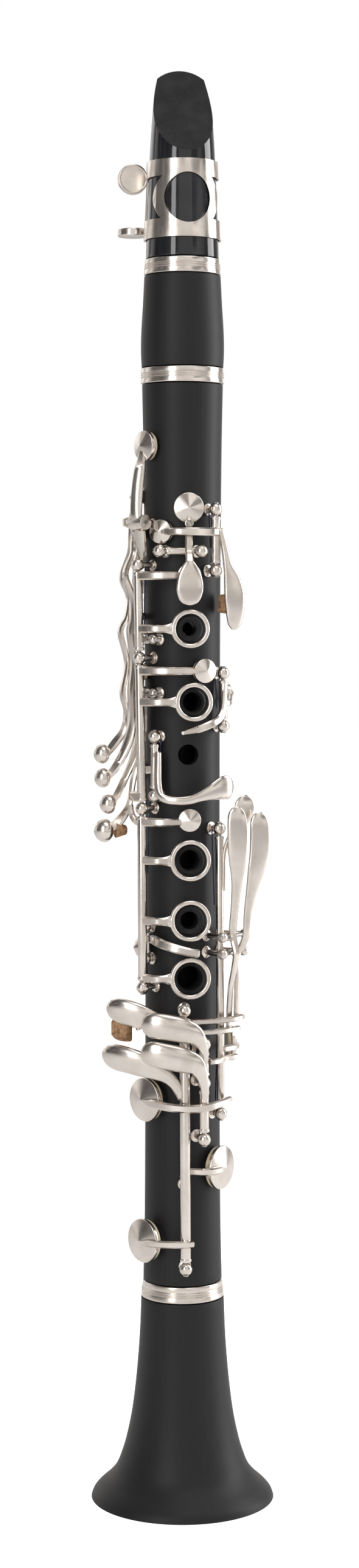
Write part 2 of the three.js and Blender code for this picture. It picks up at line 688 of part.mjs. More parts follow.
function addThroatKeys() {
  const screwBoss = 1.5;
  const levelArm = bar([
    [-1.5, 0.42, 0.862, 0.35, 0.5], [-1.8, 0.58, 0.848, 0.6, 0.9], [-2, 0.62, 0.834, 0.8, 1],
    [-2, 0.67, 0.822, 0.85, 1], [-2, 0.72, 0.813, 0.85, 1.1], [-2.1, 0.94, 0.806, 0.85, 1.1],
    [-2.3, 1.13, 0.799, 0.85, 1]
  ]);
  const teardrop = touch([
    [-2.3, 1.13, 0.802, 0.3, 0.36], [-2.4, 1.17, 0.795, 0.62, 0.42], [-2.5, 1.19, 0.784, 0.93, 0.46],
    [-2.5, 1.19, 0.772, 1.03, 0.46], [-2.5, 1.17, 0.762, 0.86, 0.42], [-2.5, 1.13, 0.755, 0.45, 0.3]
  ]);
  const bossTop = new THREE.Vector3(0, 0, screwBoss * 0.9);
  const bossBody = cylinderBetween(new THREE.Vector3(), bossTop, screwBoss, holeFacets);
  const boss = standOut(bossBody, -2, bodyRadius + keyHeight * 0.62, heightAlong(0.8435));
  const tube = keyTube(throatAHinge, 0, 1, thinTubeRadius);
  finishKey('throat_a_key', throatAHinge, [tube, levelArm, teardrop, boss, cup(-1.5, 0.861, throatCup)]);
  addPad('throat_a_pad', -1.5, 0.861, throatCup, 0, throatAHinge.start);

  const cross = bar([
    [33, 0.75, 0.8345, 0.95, 1], [26, 0.92, 0.8345, 0.95, 1], [14, 1.03, 0.8345, 0.9, 0.9],
    [0, 1.07, 0.8345, 0.85, 0.85], [-12, 1.02, 0.8345, 0.8, 0.85], [-22, 0.85, 0.8345, 0.75, 0.9],
    [-31, 0.62, 0.8345, 0.55, 0.9], [-36, 0.5, 0.8345, 0.3, 0.5]
  ]);
  const paddle = touch([
    [33, 0.86, 0.838, 0.22, 0.35], [38, 0.93, 0.818, 0.26, 0.4], [41.5, 1.02, 0.798, 0.34, 0.45],
    [45, 1.12, 0.783, 0.58, 0.48], [47.5, 1.18, 0.768, 0.72, 0.5], [49, 1.18, 0.753, 0.72, 0.48],
    [50.5, 1.12, 0.74, 0.58, 0.42], [51, 1.05, 0.731, 0.3, 0.3]
  ], touchWidth * 0.8);
  const stretch = keyTube(throatGsharpHinge);
  finishKey('throat_gsharp_key', throatGsharpHinge, [stretch, cross, paddle, cup(-36, 0.8347, gsharpCup)]);
  addPad('throat_gsharp_pad', -36, 0.8347, gsharpCup, 0, throatGsharpHinge.start);
}

// The straight arm that carries a finger ring, from the rod to the ring's rim
function ringArm(alongShare, ringAngle, outer, hingeAngle, hingeShare) {
  const rim = ringAngle - THREE.MathUtils.radToDeg(Math.atan((outer - ringThickness / 2) / ringHeight));
  const slant = (angle) => Math.cos(THREE.MathUtils.degToRad(angle - ringAngle));
  const level = (angle) => (ringHeight / slant(angle) - bodyRadius) / keyHeight;
  const middle = (hingeAngle + rim) / 2;
  return bar([
    [hingeAngle - 4, hingeShare + 0.02, alongShare, 0.95, 1],
    [hingeAngle + 4, hingeShare + 0.04, alongShare, 0.95, 1],
    [middle, (hingeShare + level(rim - 8)) / 2 + 0.1, alongShare, 0.85, 0.9],
    [rim - 8, level(rim - 8), alongShare, 0.85, 0.85], [rim, level(rim), alongShare, 1.35, 0.8]
  ]);
}

// A straight arm from the rod to a pad cup
function cupArm(alongShare, cupAngle, hingeAngle, hingeShare, cupShare) {
  const span = cupAngle - hingeAngle;
  return bar([
    [hingeAngle - 4, hingeShare + 0.03, alongShare, 1, 1],
    [hingeAngle + span * 0.2, hingeShare + 0.07, alongShare, 0.95, 1],
    [hingeAngle + span * 0.55, hingeShare * 0.55 + cupShare * 0.45 + 0.12, alongShare, 0.85, 0.95],
    [hingeAngle + span * 0.82, cupShare + 0.1, alongShare, 0.75, 0.9],
    [cupAngle, cupShare, alongShare, 0.25, 0.5]
  ]);
}

function addRingKeys() {
  const upperPost = shareAlong(leftUpperHinge, 0.695);
  const linkEnd = 0.542;
  const first = [
    keyTube(leftUpperHinge, 0, upperPost),
    cupArm(0.786, -1.5, -57.6, 1, 0.62),
    ringArm(0.7274, 0, ringOuter, -57, 0.98),
    fingerRing(0, ringHeight, 0.7274, ringInner, ringOuter),
    paddedCup(-1.5, 0.786, smallCup, ringTravel),
    bar([
      [-57, 0.92, 0.741, 0.8, 0.8], [-60, 0.62, 0.741, 0.8, 0.8], [-65, 0.38, 0.741, 0.8, 0.75],
      [-72, 0.31, 0.741, 0.8, 0.75], [-86, 0.31, 0.741, 0.8, 0.75], [-99, 0.31, 0.741, 0.8, 0.75]
    ])
  ];
  finishKey('first_ring_key', leftUpperHinge, first);

  const second = [
    keyTube(leftUpperHinge, upperPost, 1),
    cupArm(0.681, 17, -56, 0.96, 0.62),
    ringArm(0.6466, 4, ringOuter, -55.6, 0.95),
    fingerRing(4, ringHeight, 0.6466, ringInner, ringOuter),
    paddedCup(17, 0.681, smallCup, ringTravel),
    bar([[-52, 0.98, linkEnd, 1.1, 1.2], [-60, 1.05, linkEnd, 1.1, 1.2], [-66.5, 1.1, linkEnd, 1, 1.1]])
  ];
  finishKey('second_ring_key', leftUpperHinge, second);

  const lower = [
    keyTube(leftLowerHinge),
    cupArm(0.5145, -1, -54, 0.9, 0.55),
    paddedCup(-1, 0.5165, lowerCup, ringTravel),
    bar([
      [-56, 0.93, 0.5125, 0.8, 1], [-62, 1, 0.5155, 0.8, 1], [-66.5, 1.06, 0.523, 0.7, 1],
      [-67, 1.1, 0.533, 0.6, 0.9]
    ])
  ];
  for (const alongShare of [0.472, 0.4055, 0.342]) {
    lower.push(ringArm(alongShare, 0, largeRingOuter, -53.6, 0.89));
    lower.push(fingerRing(0, ringHeight, alongShare, largeRingInner, largeRingOuter));
  }
  finishKey('lower_ring_key', leftLowerHinge, lower);

  const thumbRingInner = thumbTubeOuter + gap * 2;
  const thumb = [
    keyTube(thumbRingHinge, 0, 1, thinTubeRadius, smallBall),
    bar([
      [-139, 0.5, thumbHoleShare, 0.9, 1], [-150, 0.6, thumbHoleShare, 0.9, 1],
      [-158, 0.66, thumbHoleShare, 1.1, 0.9], [-162, 0.66, thumbHoleShare, 1.3, 0.9]
    ]),
    fingerRing(180, ringHeight, thumbHoleShare, thumbRingInner, thumbRingInner + ringThickness * 1.1),
    bar([
      [-143, 0.4, 0.741, 0.8, 0.8], [-130, 0.34, 0.741, 0.8, 0.75], [-115, 0.31, 0.741, 0.8, 0.75],
      [-105, 0.31, 0.741, 0.8, 0.75]
    ])
  ];
  finishKey('thumb_ring_key', thumbRingHinge, thumb);
}

function addSliverAndSharpKeys() {
  const upper = [
    keyTube(upperSliverHinge, 0, 1, thinTubeRadius),
    bar([
      [50, 0.52, 0.668, 0.7, 0.9], [48, 0.56, 0.65, 0.75, 0.9], [44, 0.6, 0.637, 0.8, 0.95],
      [36, 0.66, 0.628, 0.85, 1], [22, 0.76, 0.622, 0.85, 1], [5, 0.8, 0.616, 0.75, 0.95],
      [-10, 0.78, 0.6125, 0.55, 0.85]
    ]),
    bar([
      [52, 0.5, 0.645, 0.8, 0.9], [62, 0.55, 0.645, 0.7, 0.9], [76, 0.48, 0.65, 0.7, 0.9],
      [86, 0.42, 0.654, 0.6, 0.9], [90, 0.4, 0.655, 0.3, 0.5]
    ]),
    paddedCup(90, 0.655, trillCup)
  ];
  finishKey('upper_sliver_key', upperSliverHinge, upper);

  const sharp = [
    keyTube(csharpHinge, 0, 1, thinTubeRadius),
    bar([[-46, 0.56, 0.588, 0.55, 0.8], [-41, 0.62, 0.588, 0.6, 0.9], [-36, 0.66, 0.585, 0.6, 1]]),
    bar([
      [-37, 0.66, 0.592, 0.75, 1], [-36.5, 0.7, 0.575, 0.75, 1], [-36, 0.73, 0.557, 0.75, 1],
      [-33.5, 0.77, 0.546, 0.8, 1], [-27, 0.81, 0.5405, 0.8, 1], [-15, 0.85, 0.5385, 0.75, 1],
      [-2, 0.88, 0.5395, 0.75, 1.05], [7, 0.93, 0.5425, 0.95, 1.15]
    ]),
    touch([
      [5, 0.93, 0.5415, 0.3, 0.34], [14, 0.98, 0.545, 0.5, 0.42], [23, 1.03, 0.549, 0.72, 0.48],
      [32, 1.08, 0.552, 0.9, 0.5], [39, 1.1, 0.5525, 0.86, 0.46], [44, 1.1, 0.5525, 0.45, 0.3]
    ]),
    bar([
      [-46, 0.44, 0.571, 0.8, 0.75], [-55, 0.26, 0.571, 0.8, 0.75], [-68, 0.2, 0.57, 0.8, 0.75],
      [-84, 0.26, 0.569, 0.7, 0.75], [-100, 0.45, 0.568, 0.4, 0.6]
    ]),
    paddedCup(-100, 0.568, trillCup)
  ];
  finishKey('csharp_key', csharpHinge, sharp);

  const sliver = [
    keyTube(lowerSliverHinge, 0, 1, thinTubeRadius, smallBall),
    bar([
      [-62, 0.42, 0.3835, 0.8, 0.8], [-52, 0.4, 0.3835, 0.8, 0.8], [-42, 0.52, 0.3825, 0.75, 0.9],
      [-30, 0.74, 0.3795, 0.8, 1], [-16, 0.87, 0.3755, 0.85, 1], [-2, 0.93, 0.372, 0.85, 0.95],
      [8, 0.94, 0.3705, 0.8, 0.85]
    ]),
    bar([
      [-60, 0.42, 0.373, 0.8, 0.8], [-66, 0.42, 0.373, 0.8, 0.8], [-73, 0.44, 0.3725, 0.7, 0.8],
      [-80, 0.44, 0.372, 0.3, 0.5]
    ]),
    paddedCup(-80, 0.372, trillCup)
  ];
  finishKey('lower_sliver_key', lowerSliverHinge, sliver);
}

// A side trill key: eye on the rod, lever down to a domed touch and up to its cup
function trillKey(name, hinge, hingeShare, eyeHalfShare, leverShares, armShares, cupPlace, touchPlace) {
  const eyeStart = onHinge(hinge, hingeShare - eyeHalfShare);
  const eyeEnd = onHinge(hinge, hingeShare + eyeHalfShare);
  const eye = cylinderBetween(eyeStart, eyeEnd, tubeRadius, holeFacets);
  const [touchAngle, touchHeight, touchAlong] = touchPlace;
  const dome = turned([
    [0, -trillTouch * 0.42], [trillTouch * 0.7, -trillTouch * 0.3], [trillTouch, 0],
    [trillTouch * 0.75, trillTouch * 0.42], [0, trillTouch * 0.62]
  ], holeFacets);
  const place = bodyRadius + keyHeight * touchHeight;
  const touch = standOut(dome, touchAngle, place, heightAlong(touchAlong));
  const pieces = [eye, bar(leverShares), bar(armShares), touch];
  pieces.push(paddedCup(...cupPlace, trillCup));
  finishKey(name, hinge, pieces);
}

function addTrillKeys() {
  trillKey('side_key_1', upperTrillHinge, 0.65, 0.09,
    [
      [-81, 0.42, 0.7157, 1, 1.1], [-81, 0.62, 0.706, 1.1, 1], [-81.5, 0.9, 0.694, 1.15, 0.9],
      [-82, 0.95, 0.672, 1.15, 0.9], [-82, 1.15, 0.654, 1.15, 0.9], [-82, 0.98, 0.635, 1.15, 0.9],
      [-82.5, 1.1, 0.615, 1.15, 0.9], [-83.5, 1.6, 0.598, 1.1, 0.9], [-84, 2, 0.5865, 0.8, 0.8]
    ],
    [
      [-81, 0.42, 0.7157, 1, 1.1], [-81.5, 0.65, 0.726, 1.1, 1], [-82, 1, 0.742, 1.1, 0.9],
      [-83, 1.15, 0.765, 1.1, 0.9], [-87, 1.15, 0.785, 1, 0.9], [-95, 1.08, 0.806, 0.9, 0.9],
      [-100, 0.9, 0.828, 0.8, 0.9], [-102, 0.64, 0.853, 0.7, 0.9], [-103, 0.46, 0.875, 0.3, 0.5]
    ],
    [-103, 0.875], [-84, 2.05, 0.5865]);
  trillKey('side_key_2', upperTrillHinge, 0.42, 0.105,
    [
      [-66, 0.35, 0.7157, 1, 1.1], [-66.5, 0.6, 0.705, 1.05, 1], [-68, 0.85, 0.692, 1.1, 0.9],
      [-69, 0.95, 0.672, 1.1, 0.9], [-69.5, 1.04, 0.654, 1.1, 0.9], [-70, 0.96, 0.635, 1.1, 0.9],
      [-71, 0.98, 0.612, 1.1, 0.9], [-74, 1.12, 0.59, 1, 0.9], [-79, 1.56, 0.57, 0.9, 0.9],
      [-82, 2, 0.5595, 0.7, 0.8]
    ],
    [
      [-66, 0.35, 0.7157, 1, 1.1], [-67, 0.6, 0.726, 1, 1], [-69, 0.92, 0.742, 1, 0.9],
      [-70.5, 1.1, 0.77, 1, 0.9], [-72, 1.08, 0.79, 0.95, 0.9], [-76, 0.9, 0.81, 0.8, 0.9],
      [-81, 0.66, 0.826, 0.7, 0.9], [-84, 0.48, 0.836, 0.3, 0.5]
    ],
    [-84, 0.836], [-82, 2.05, 0.5595]);
  trillKey('side_key_3', lowerTrillHinge, 0.65, 0.09,
    [
      [-81, 0.3, 0.656, 1, 1], [-81, 0.3, 0.64, 1.05, 0.8], [-81, 0.36, 0.61, 1.05, 0.8],
      [-81, 0.64, 0.585, 1.05, 0.8], [-80, 1.08, 0.56, 1, 0.9], [-77.5, 1.6, 0.542, 0.9, 0.9],
      [-76, 1.85, 0.531, 0.7, 0.8]
    ],
    [
      [-81, 0.3, 0.656, 0.8, 1], [-84, 0.36, 0.665, 0.7, 0.8], [-93, 0.42, 0.6735, 0.6, 0.8],
      [-101, 0.46, 0.679, 0.5, 0.8], [-106, 0.46, 0.681, 0.3, 0.5]
    ],
    [-106, 0.681], [-76, 1.92, 0.531]);
  trillKey('side_key_4', lowerTrillHinge, 0.42, 0.105,
    [
      [-66, 0.26, 0.656, 1, 1], [-66.5, 0.28, 0.64, 0.95, 0.8], [-67.5, 0.34, 0.61, 0.95, 0.8],
      [-68.5, 0.66, 0.583, 0.95, 0.8], [-71, 0.9, 0.56, 0.85, 0.85], [-74.5, 1.08, 0.532, 0.8, 0.9],
      [-77, 1.38, 0.514, 0.85, 0.9], [-78, 1.95, 0.501, 0.7, 0.8]
    ],
    [
      [-66, 0.26, 0.656, 0.8, 1], [-68, 0.36, 0.664, 0.6, 0.8], [-73, 0.42, 0.673, 0.5, 0.8],
      [-76, 0.44, 0.679, 0.3, 0.5]
    ],
    [-76, 0.679], [-78, 2.05, 0.501]);
}

// Lower joint keys
function addLowKeys() {
  const lowE = [
    keyTube(centreHinge, 0, 1, thickTubeRadius),
    touch([
      [-76, 2.25, 0.2565, 0.3, 0.4], [-72.5, 2.12, 0.256, 0.75, 0.8], [-66, 1.92, 0.2545, 1, 1],
      [-56, 1.62, 0.252, 1.02, 1], [-45, 1.33, 0.2475, 0.95, 0.85], [-34, 1.12, 0.242, 0.72, 0.65],
      [-24, 1.02, 0.236, 0.55, 0.5], [-17, 0.98, 0.228, 0.42, 0.42], [-12.5, 0.92, 0.218, 0.32, 0.38],
      [-10, 0.88, 0.211, 0.26, 0.36]
    ]),
    bar([
      [-9, 1, 0.296, 0.62, 1], [0, 1.07, 0.296, 0.62, 1], [10, 1.08, 0.296, 0.62, 1],
      [25, 1.16, 0.296, 0.62, 1], [38, 1.32, 0.2965, 0.62, 1], [50, 1.37, 0.297, 0.68, 1],
      [56, 1.35, 0.297, 0.6, 0.9]
    ]),
    bar([
      [2, 1.02, 0.052, 0.75, 1], [-6, 1.08, 0.052, 0.8, 1], [-18, 1.05, 0.0515, 0.8, 1],
      [-32, 1.02, 0.051, 0.8, 1], [-44, 1, 0.0505, 0.75, 1], [-53, 0.98, 0.05, 0.45, 0.7],
      [-57, 0.95, 0.05, 0.25, 0.4]
    ]),
    cup(-57, 0.05, lowCup, padTravel)
  ];
  finishKey('low_e_key', centreHinge, lowE);
  addPad('low_e_pad', -57, 0.05, lowCup, padTravel, centreHinge.start);

  const middlePlace = shareAlong(rightTouchHinge, 0.2285);
  const lowFHinge = { start: onHinge(rightTouchHinge, middlePlace), end: rightTouchHinge.end };
  const lowF = [
    keyTube(lowFHinge, 0, 1, tubeRadius),
    touch([
      [-39, 2, 0.2655, 0.3, 0.4], [-36, 1.97, 0.265, 0.72, 0.75], [-30, 1.93, 0.2635, 0.98, 0.95],
      [-19, 1.86, 0.261, 1, 1], [-8, 1.82, 0.257, 0.95, 0.95], [0, 1.8, 0.252, 0.8, 0.75],
      [4.5, 1.78, 0.244, 0.55, 0.52], [7.5, 1.72, 0.232, 0.38, 0.42], [9, 1.6, 0.219, 0.3, 0.42],
      [9.8, 1.38, 0.209, 0.28, 0.42]
    ]),
    bar([
      [-56, 0.72, 0.2055, 0.3, 0.5], [-49, 0.86, 0.2055, 0.6, 0.9], [-38, 1.02, 0.205, 0.85, 1],
      [-23, 1.24, 0.2035, 0.9, 1.05], [-9, 1.38, 0.2025, 0.9, 1.05], [4, 1.46, 0.2025, 0.9, 1.05],
      [13, 1.42, 0.2035, 0.9, 1.05], [25, 1.25, 0.205, 0.85, 1], [37, 1.08, 0.206, 0.8, 1],
      [46, 0.99, 0.207, 0.6, 0.9]
    ]),
    bar([[9, 1.24, 0.207, 0.8, 1], [10, 1.3, 0.2, 0.8, 1]]),
    bar([
      [-1, 1.72, 0.253, 0.45, 0.9], [0, 1.5, 0.2605, 0.45, 0.9], [1.5, 1.26, 0.269, 0.45, 0.9],
      [3, 1.14, 0.277, 0.5, 0.9], [6, 1.12, 0.284, 0.6, 0.9], [16, 1.13, 0.284, 0.6, 1],
      [30, 1.1, 0.284, 0.6, 1], [44, 1.12, 0.284, 0.6, 1], [56, 1.16, 0.284, 0.6, 0.9]
    ]),
    cup(-56, 0.206, lowCup, padTravel - gap)
  ];
  finishKey('low_f_key', lowFHinge, lowF);
  addPad('low_f_pad', -56, 0.206, lowCup, padTravel - gap, lowFHinge.start);

  const leverHinge = { start: rightTouchHinge.start, end: lowFHinge.start };
  const lever = [
    keyTube(leverHinge, 0, 1, tubeRadius),
    touch([
      [-39, 1.95, 0.296, 0.3, 0.4], [-36, 1.93, 0.2955, 0.72, 0.75], [-30, 1.9, 0.2945, 0.98, 0.95],
      [-19, 1.82, 0.2925, 1, 1], [-8, 1.76, 0.289, 0.95, 0.95], [0, 1.72, 0.284, 0.78, 0.78],
      [5, 1.68, 0.276, 0.52, 0.55], [8.5, 1.58, 0.266, 0.34, 0.42], [10, 1.4, 0.256, 0.28, 0.42],
      [10.5, 1.25, 0.249, 0.24, 0.4]
    ]),
    bar([[12, 1.08, 0.252, 0.6, 0.8], [16, 0.93, 0.252, 0.6, 0.7], [20, 0.86, 0.252, 0.6, 0.6]])
  ];
  finishKey('right_fsharp_lever', leverHinge, lever);

  const fsharp = [
    keyTube(rightStackHinge, 0, 1, thinTubeRadius),
    bar([
      [17, 1.2, 0.2515, 0.6, 0.9], [22, 1.16, 0.2515, 0.65, 0.9], [31, 0.98, 0.2515, 0.65, 1],
      [41, 0.84, 0.252, 0.65, 1], [50, 0.95, 0.2525, 0.65, 1], [56, 1.05, 0.2525, 0.6, 0.9]
    ]),
    bar([
      [41, 0.72, 0.262, 0.7, 1], [52, 0.8, 0.262, 0.7, 1], [66, 0.86, 0.2615, 0.65, 1],
      [80, 0.8, 0.261, 0.5, 0.9], [90, 0.76, 0.261, 0.3, 0.5]
    ]),
    touch([
      [42, 0.74, 0.484, 0.3, 0.32], [46, 0.92, 0.493, 0.3, 0.34], [50, 1.15, 0.505, 0.34, 0.34],
      [52, 1.33, 0.518, 0.52, 0.36], [52, 1.42, 0.53, 0.72, 0.38], [52, 1.42, 0.54, 0.66, 0.36],
      [52, 1.38, 0.547, 0.35, 0.28]
    ]),
    cup(90, 0.261, fsharpCup, padTravel - gap * 2)
  ];
  finishKey('low_fsharp_key', rightStackHinge, fsharp);
  addPad('low_fsharp_pad', 90, 0.261, fsharpCup, padTravel - gap * 2, rightStackHinge.start);

  const aflat = [
    keyTube(innerHinge, 0.015, 0.995, thinTubeRadius, postBall * 0.85),
    touch([
      [-73.5, 2.1, 0.308, 0.3, 0.4], [-70, 1.97, 0.3075, 0.75, 0.8], [-63, 1.72, 0.3055, 1, 0.95],
      [-53, 1.4, 0.302, 1, 0.85], [-43, 1.14, 0.2985, 0.85, 0.65], [-34, 0.92, 0.2965, 0.6, 0.5],
      [-26, 0.68, 0.296, 0.36, 0.42], [-18, 0.46, 0.296, 0.3, 0.38], [-10, 0.34, 0.296, 0.26, 0.36]
    ]),
    bar([
      [-5, 0.36, 0.129, 0.8, 0.9], [5, 0.52, 0.129, 0.8, 0.95], [14, 0.74, 0.129, 0.8, 1],
      [22, 0.82, 0.129, 0.8, 1], [34, 0.74, 0.129, 0.75, 1], [43, 0.66, 0.129, 0.45, 0.7],
      [47, 0.62, 0.129, 0.25, 0.4]
    ]),
    cup(47, 0.129, lowCup)
  ];
  finishKey('low_aflat_key', innerHinge, aflat);
  addPad('low_aflat_pad', 47, 0.129, lowCup, 0, innerHinge.start);
}

// Left-hand rockers: a long touch above the pivot, a tail below it
function addLeftHandLevers() {
  const eye = (hinge, low, high) => {
    return cylinderBetween(onHinge(hinge, low), onHinge(hinge, high), tubeRadius, holeFacets);
  };
  const leftF = [
    eye(leftFHinge, 0.57, 0.76),
    touch([
      [36, 1.72, 0.5305, 0.25, 0.3], [36, 1.78, 0.522, 0.55, 0.42], [36.5, 1.8, 0.508, 0.78, 0.48],
      [37, 1.78, 0.49, 0.8, 0.48], [38, 1.72, 0.47, 0.66, 0.46], [39.5, 1.6, 0.45, 0.46, 0.44],
      [40.5, 1.45, 0.425, 0.34, 0.42], [41, 1.3, 0.4, 0.3, 0.42], [41.5, 1.25, 0.3875, 0.3, 0.42]
    ]),
    bar([
      [41.5, 1.26, 0.3925, 0.85, 1.1], [42, 1.32, 0.382, 0.8, 1], [42, 1.45, 0.369, 0.75, 0.9],
      [42.5, 1.32, 0.353, 0.75, 0.85], [44.4, 1.05, 0.332, 0.75, 0.8], [46, 0.9, 0.305, 0.75, 0.8],
      [46, 0.88, 0.28, 0.7, 0.7]
    ])
  ];
  finishKey('left_f_lever', leftFHinge, leftF);
  const leftE = [
    eye(leftEHinge, 0.27, 0.45),
    touch([
      [51, 2.28, 0.524, 0.25, 0.3], [51, 2.34, 0.515, 0.55, 0.42], [51.3, 2.36, 0.5, 0.78, 0.48],
      [51.5, 2.32, 0.48, 0.8, 0.48], [51, 2.18, 0.46, 0.66, 0.46], [50.5, 1.98, 0.44, 0.46, 0.44],
      [50, 1.8, 0.415, 0.34, 0.42], [50, 1.7, 0.39, 0.3, 0.42], [50, 1.5, 0.378, 0.3, 0.42],
      [50, 1.22, 0.369, 0.3, 0.42]
    ]),
    bar([
      [50, 1.22, 0.372, 0.85, 1.1], [50, 1.22, 0.36, 0.8, 1], [50.5, 1.24, 0.345, 0.75, 0.9],
      [51, 1.17, 0.325, 0.75, 0.85], [52, 1.12, 0.305, 0.75, 0.8], [52, 1.11, 0.292, 0.7, 0.75]
    ])
  ];
  finishKey('left_e_lever', leftEHinge, leftE);
}

function addPosts() {
  const stack = [cylinderBetween(leftUpperHinge.start, leftUpperHinge.end, rodRadius)];
  stack.push(cylinderBetween(leftLowerHinge.start, leftLowerHinge.end, rodRadius));
  for (const place of [0, shareAlong(leftUpperHinge, 0.695), 1]) {
    stack.push(postAt(onHinge(leftUpperHinge, place)));
  }
  stack.push(postAt(leftLowerHinge.end));
  addPiece('left_stack_posts', carve(stack), metal);
  addPiece('csharp_posts', hingePosts(csharpHinge), metal);
  addPiece('throat_a_posts', hingePosts(throatAHinge), metal);
  addPiece('throat_gsharp_posts', hingePosts(throatGsharpHinge), metal);
  addPiece('upper_sliver_posts', hingePosts(upperSliverHinge), metal);
  addPiece('upper_trill_posts', hingePosts(upperTrillHinge, [0, 1], smallBall), metal);
  addPiece('lower_trill_posts', hingePosts(lowerTrillHinge, [0, 1], smallBall), metal);
  addPiece('thumb_ring_posts', hingePosts(thumbRingHinge, [0, 1], smallBall), metal);
  addPiece('lower_sliver_posts', hingePosts(lowerSliverHinge, [0, 1], smallBall), metal);
  addPiece('right_stack_posts', hingePosts(rightStackHinge), metal);
  const middle = shareAlong(rightTouchHinge, 0.2285);
  addPiece('right_touch_posts', hingePosts(rightTouchHinge, [0, middle, 1]), metal);
  const low = [cylinderBetween(centreHinge.start, centreHinge.end, rodRadius)];
  low.push(cylinderBetween(innerHinge.start, innerHinge.end, rodRadius));
  low.push(postAt(centreHinge.start), postAt(centreHinge.end));
  low.push(postAt(innerHinge.end, smallBall * 0.85));
  addPiece('low_key_posts', carve(low), metal);
  addPiece('left_f_lever_posts', hingePosts(leftFHinge, [0, 1], smallBall), metal);
  addPiece('left_e_lever_posts', hingePosts(leftEHinge, [0, 1], smallBall), metal);
  const saddle = [cylinderBetween(registerHinge.start, registerHinge.end, rodRadius)];
  saddle.push(postAt(onHinge(registerHinge, 1 / 2), smallBall, saddleFlange));
  addPiece('register_posts', carve(saddle), metal);
}

// Thumb rest and thumb tube behind the body
const thumbRestWidth = 11;
const thumbRestLength = 19;
const thumbRestPlate = 1.4;
const thumbHookReach = 15;
const thumbRestShare = 0.44;

function addThumbFittings() {
  const z = heightAlong(thumbRestShare);
  const base = bodyRadiusAt(z) + gap;
  const tip = base + thumbHookReach;
  const top = z + thumbRestLength / 2;
  const plate = new THREE.BoxGeometry(thumbRestWidth, thumbRestPlate, thumbRestLength);
  plate.translate(0, base + thumbRestPlate / 2, z);
  const hook = sideSlab([
    [base, top], [base + thumbRestPlate, top - thumbRestPlate],
    [base + thumbHookReach * 0.6, top - thumbRestPlate * 2], [tip, top - thumbRestPlate * 4],
    [tip, top - thumbRestPlate * 2.6], [base + thumbHookReach * 0.6, top - thumbRestPlate * 0.6],
    [base + thumbRestPlate, top]
  ], thumbRestWidth);
  addPiece('thumb_rest', carve([plate, hook]), metal);
  const holeTop = bodyRadiusAt(heightAlong(thumbHoleShare)) + chimneyHeight;
  const low = boreRadius + gap * 2;
  const outline = [
    [thumbTubeInner, low], [thumbTubeOuter, low], [thumbTubeOuter, holeTop], [thumbTubeInner, holeTop]
  ];
  const tube = standOut(turnedWall(outline, cupFacets), 180, 0, heightAlong(thumbHoleShare));
  addPiece('thumb_tube', tube, metal);
}

addBell();
addBody();
addTenonCork('lower_tenon_cork', bodyBottom - lowerTenonLength, lowerTenonLength, tenonRadius);
addTenonCork('upper_tenon_cork', bodyTop, upperTenonLength, tenonRadius);
addBarrel();
const mouthpieceCorkBottom = mouthpieceBottom - mouthpieceTenonLength;
addTenonCork('mouthpiece_tenon_cork', mouthpieceCorkBottom, mouthpieceTenonLength, tenonRadius);
addMouthpiece();
addLigature();
addPosts();
addThumbFittings();
addRegisterKey();
addThroatKeys();
addRingKeys();
addSliverAndSharpKeys();
addTrillKeys();
addLowKeys();
addLeftHandLevers();

export default group;
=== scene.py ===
# A small clarinet dressed for a studio picture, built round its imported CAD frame
import math

import bmesh
import bpy
from mathutils import Matrix, Vector


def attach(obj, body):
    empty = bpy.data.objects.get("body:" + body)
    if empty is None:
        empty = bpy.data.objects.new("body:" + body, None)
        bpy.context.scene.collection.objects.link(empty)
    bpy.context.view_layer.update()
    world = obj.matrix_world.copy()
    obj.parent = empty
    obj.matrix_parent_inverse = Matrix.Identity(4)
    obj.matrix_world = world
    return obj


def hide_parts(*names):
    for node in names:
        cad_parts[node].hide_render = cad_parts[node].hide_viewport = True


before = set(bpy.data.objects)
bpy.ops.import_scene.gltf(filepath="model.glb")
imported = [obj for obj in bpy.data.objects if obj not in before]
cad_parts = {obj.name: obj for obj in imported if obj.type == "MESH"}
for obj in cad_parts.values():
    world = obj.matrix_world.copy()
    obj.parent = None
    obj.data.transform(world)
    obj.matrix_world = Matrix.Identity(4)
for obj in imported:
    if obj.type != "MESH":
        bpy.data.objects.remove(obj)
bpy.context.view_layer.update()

mm = 0.001  # pieces are drawn in millimetres and kept in metres

camera = {
    "azimuth": -9,  # degrees round the tube, from the finger holes
    "distance": 930 * mm,
    "eyeHeight": 304.7 * mm,
    "lens": 62.07,
    "shift": (-0.0019, -0.1118),
}


def placeCamera(cam):
    data = bpy.data.cameras.new("camera")
    data.lens = cam["lens"]
    data.sensor_width = 36
    data.shift_x, data.shift_y = cam["shift"]
    data.clip_start = 0.01
    obj = bpy.data.objects.new("camera", data)
    turn = math.radians(cam["azimuth"])
    side = Vector((math.sin(turn), -math.cos(turn), 0))
    obj.location = side * cam["distance"] + Vector((0, 0, cam["eyeHeight"]))
    obj.rotation_euler = (math.pi / 2, 0, turn)
    bpy.context.scene.collection.objects.link(obj)
    bpy.context.scene.camera = obj


placeCamera(camera)
print("camera placed")

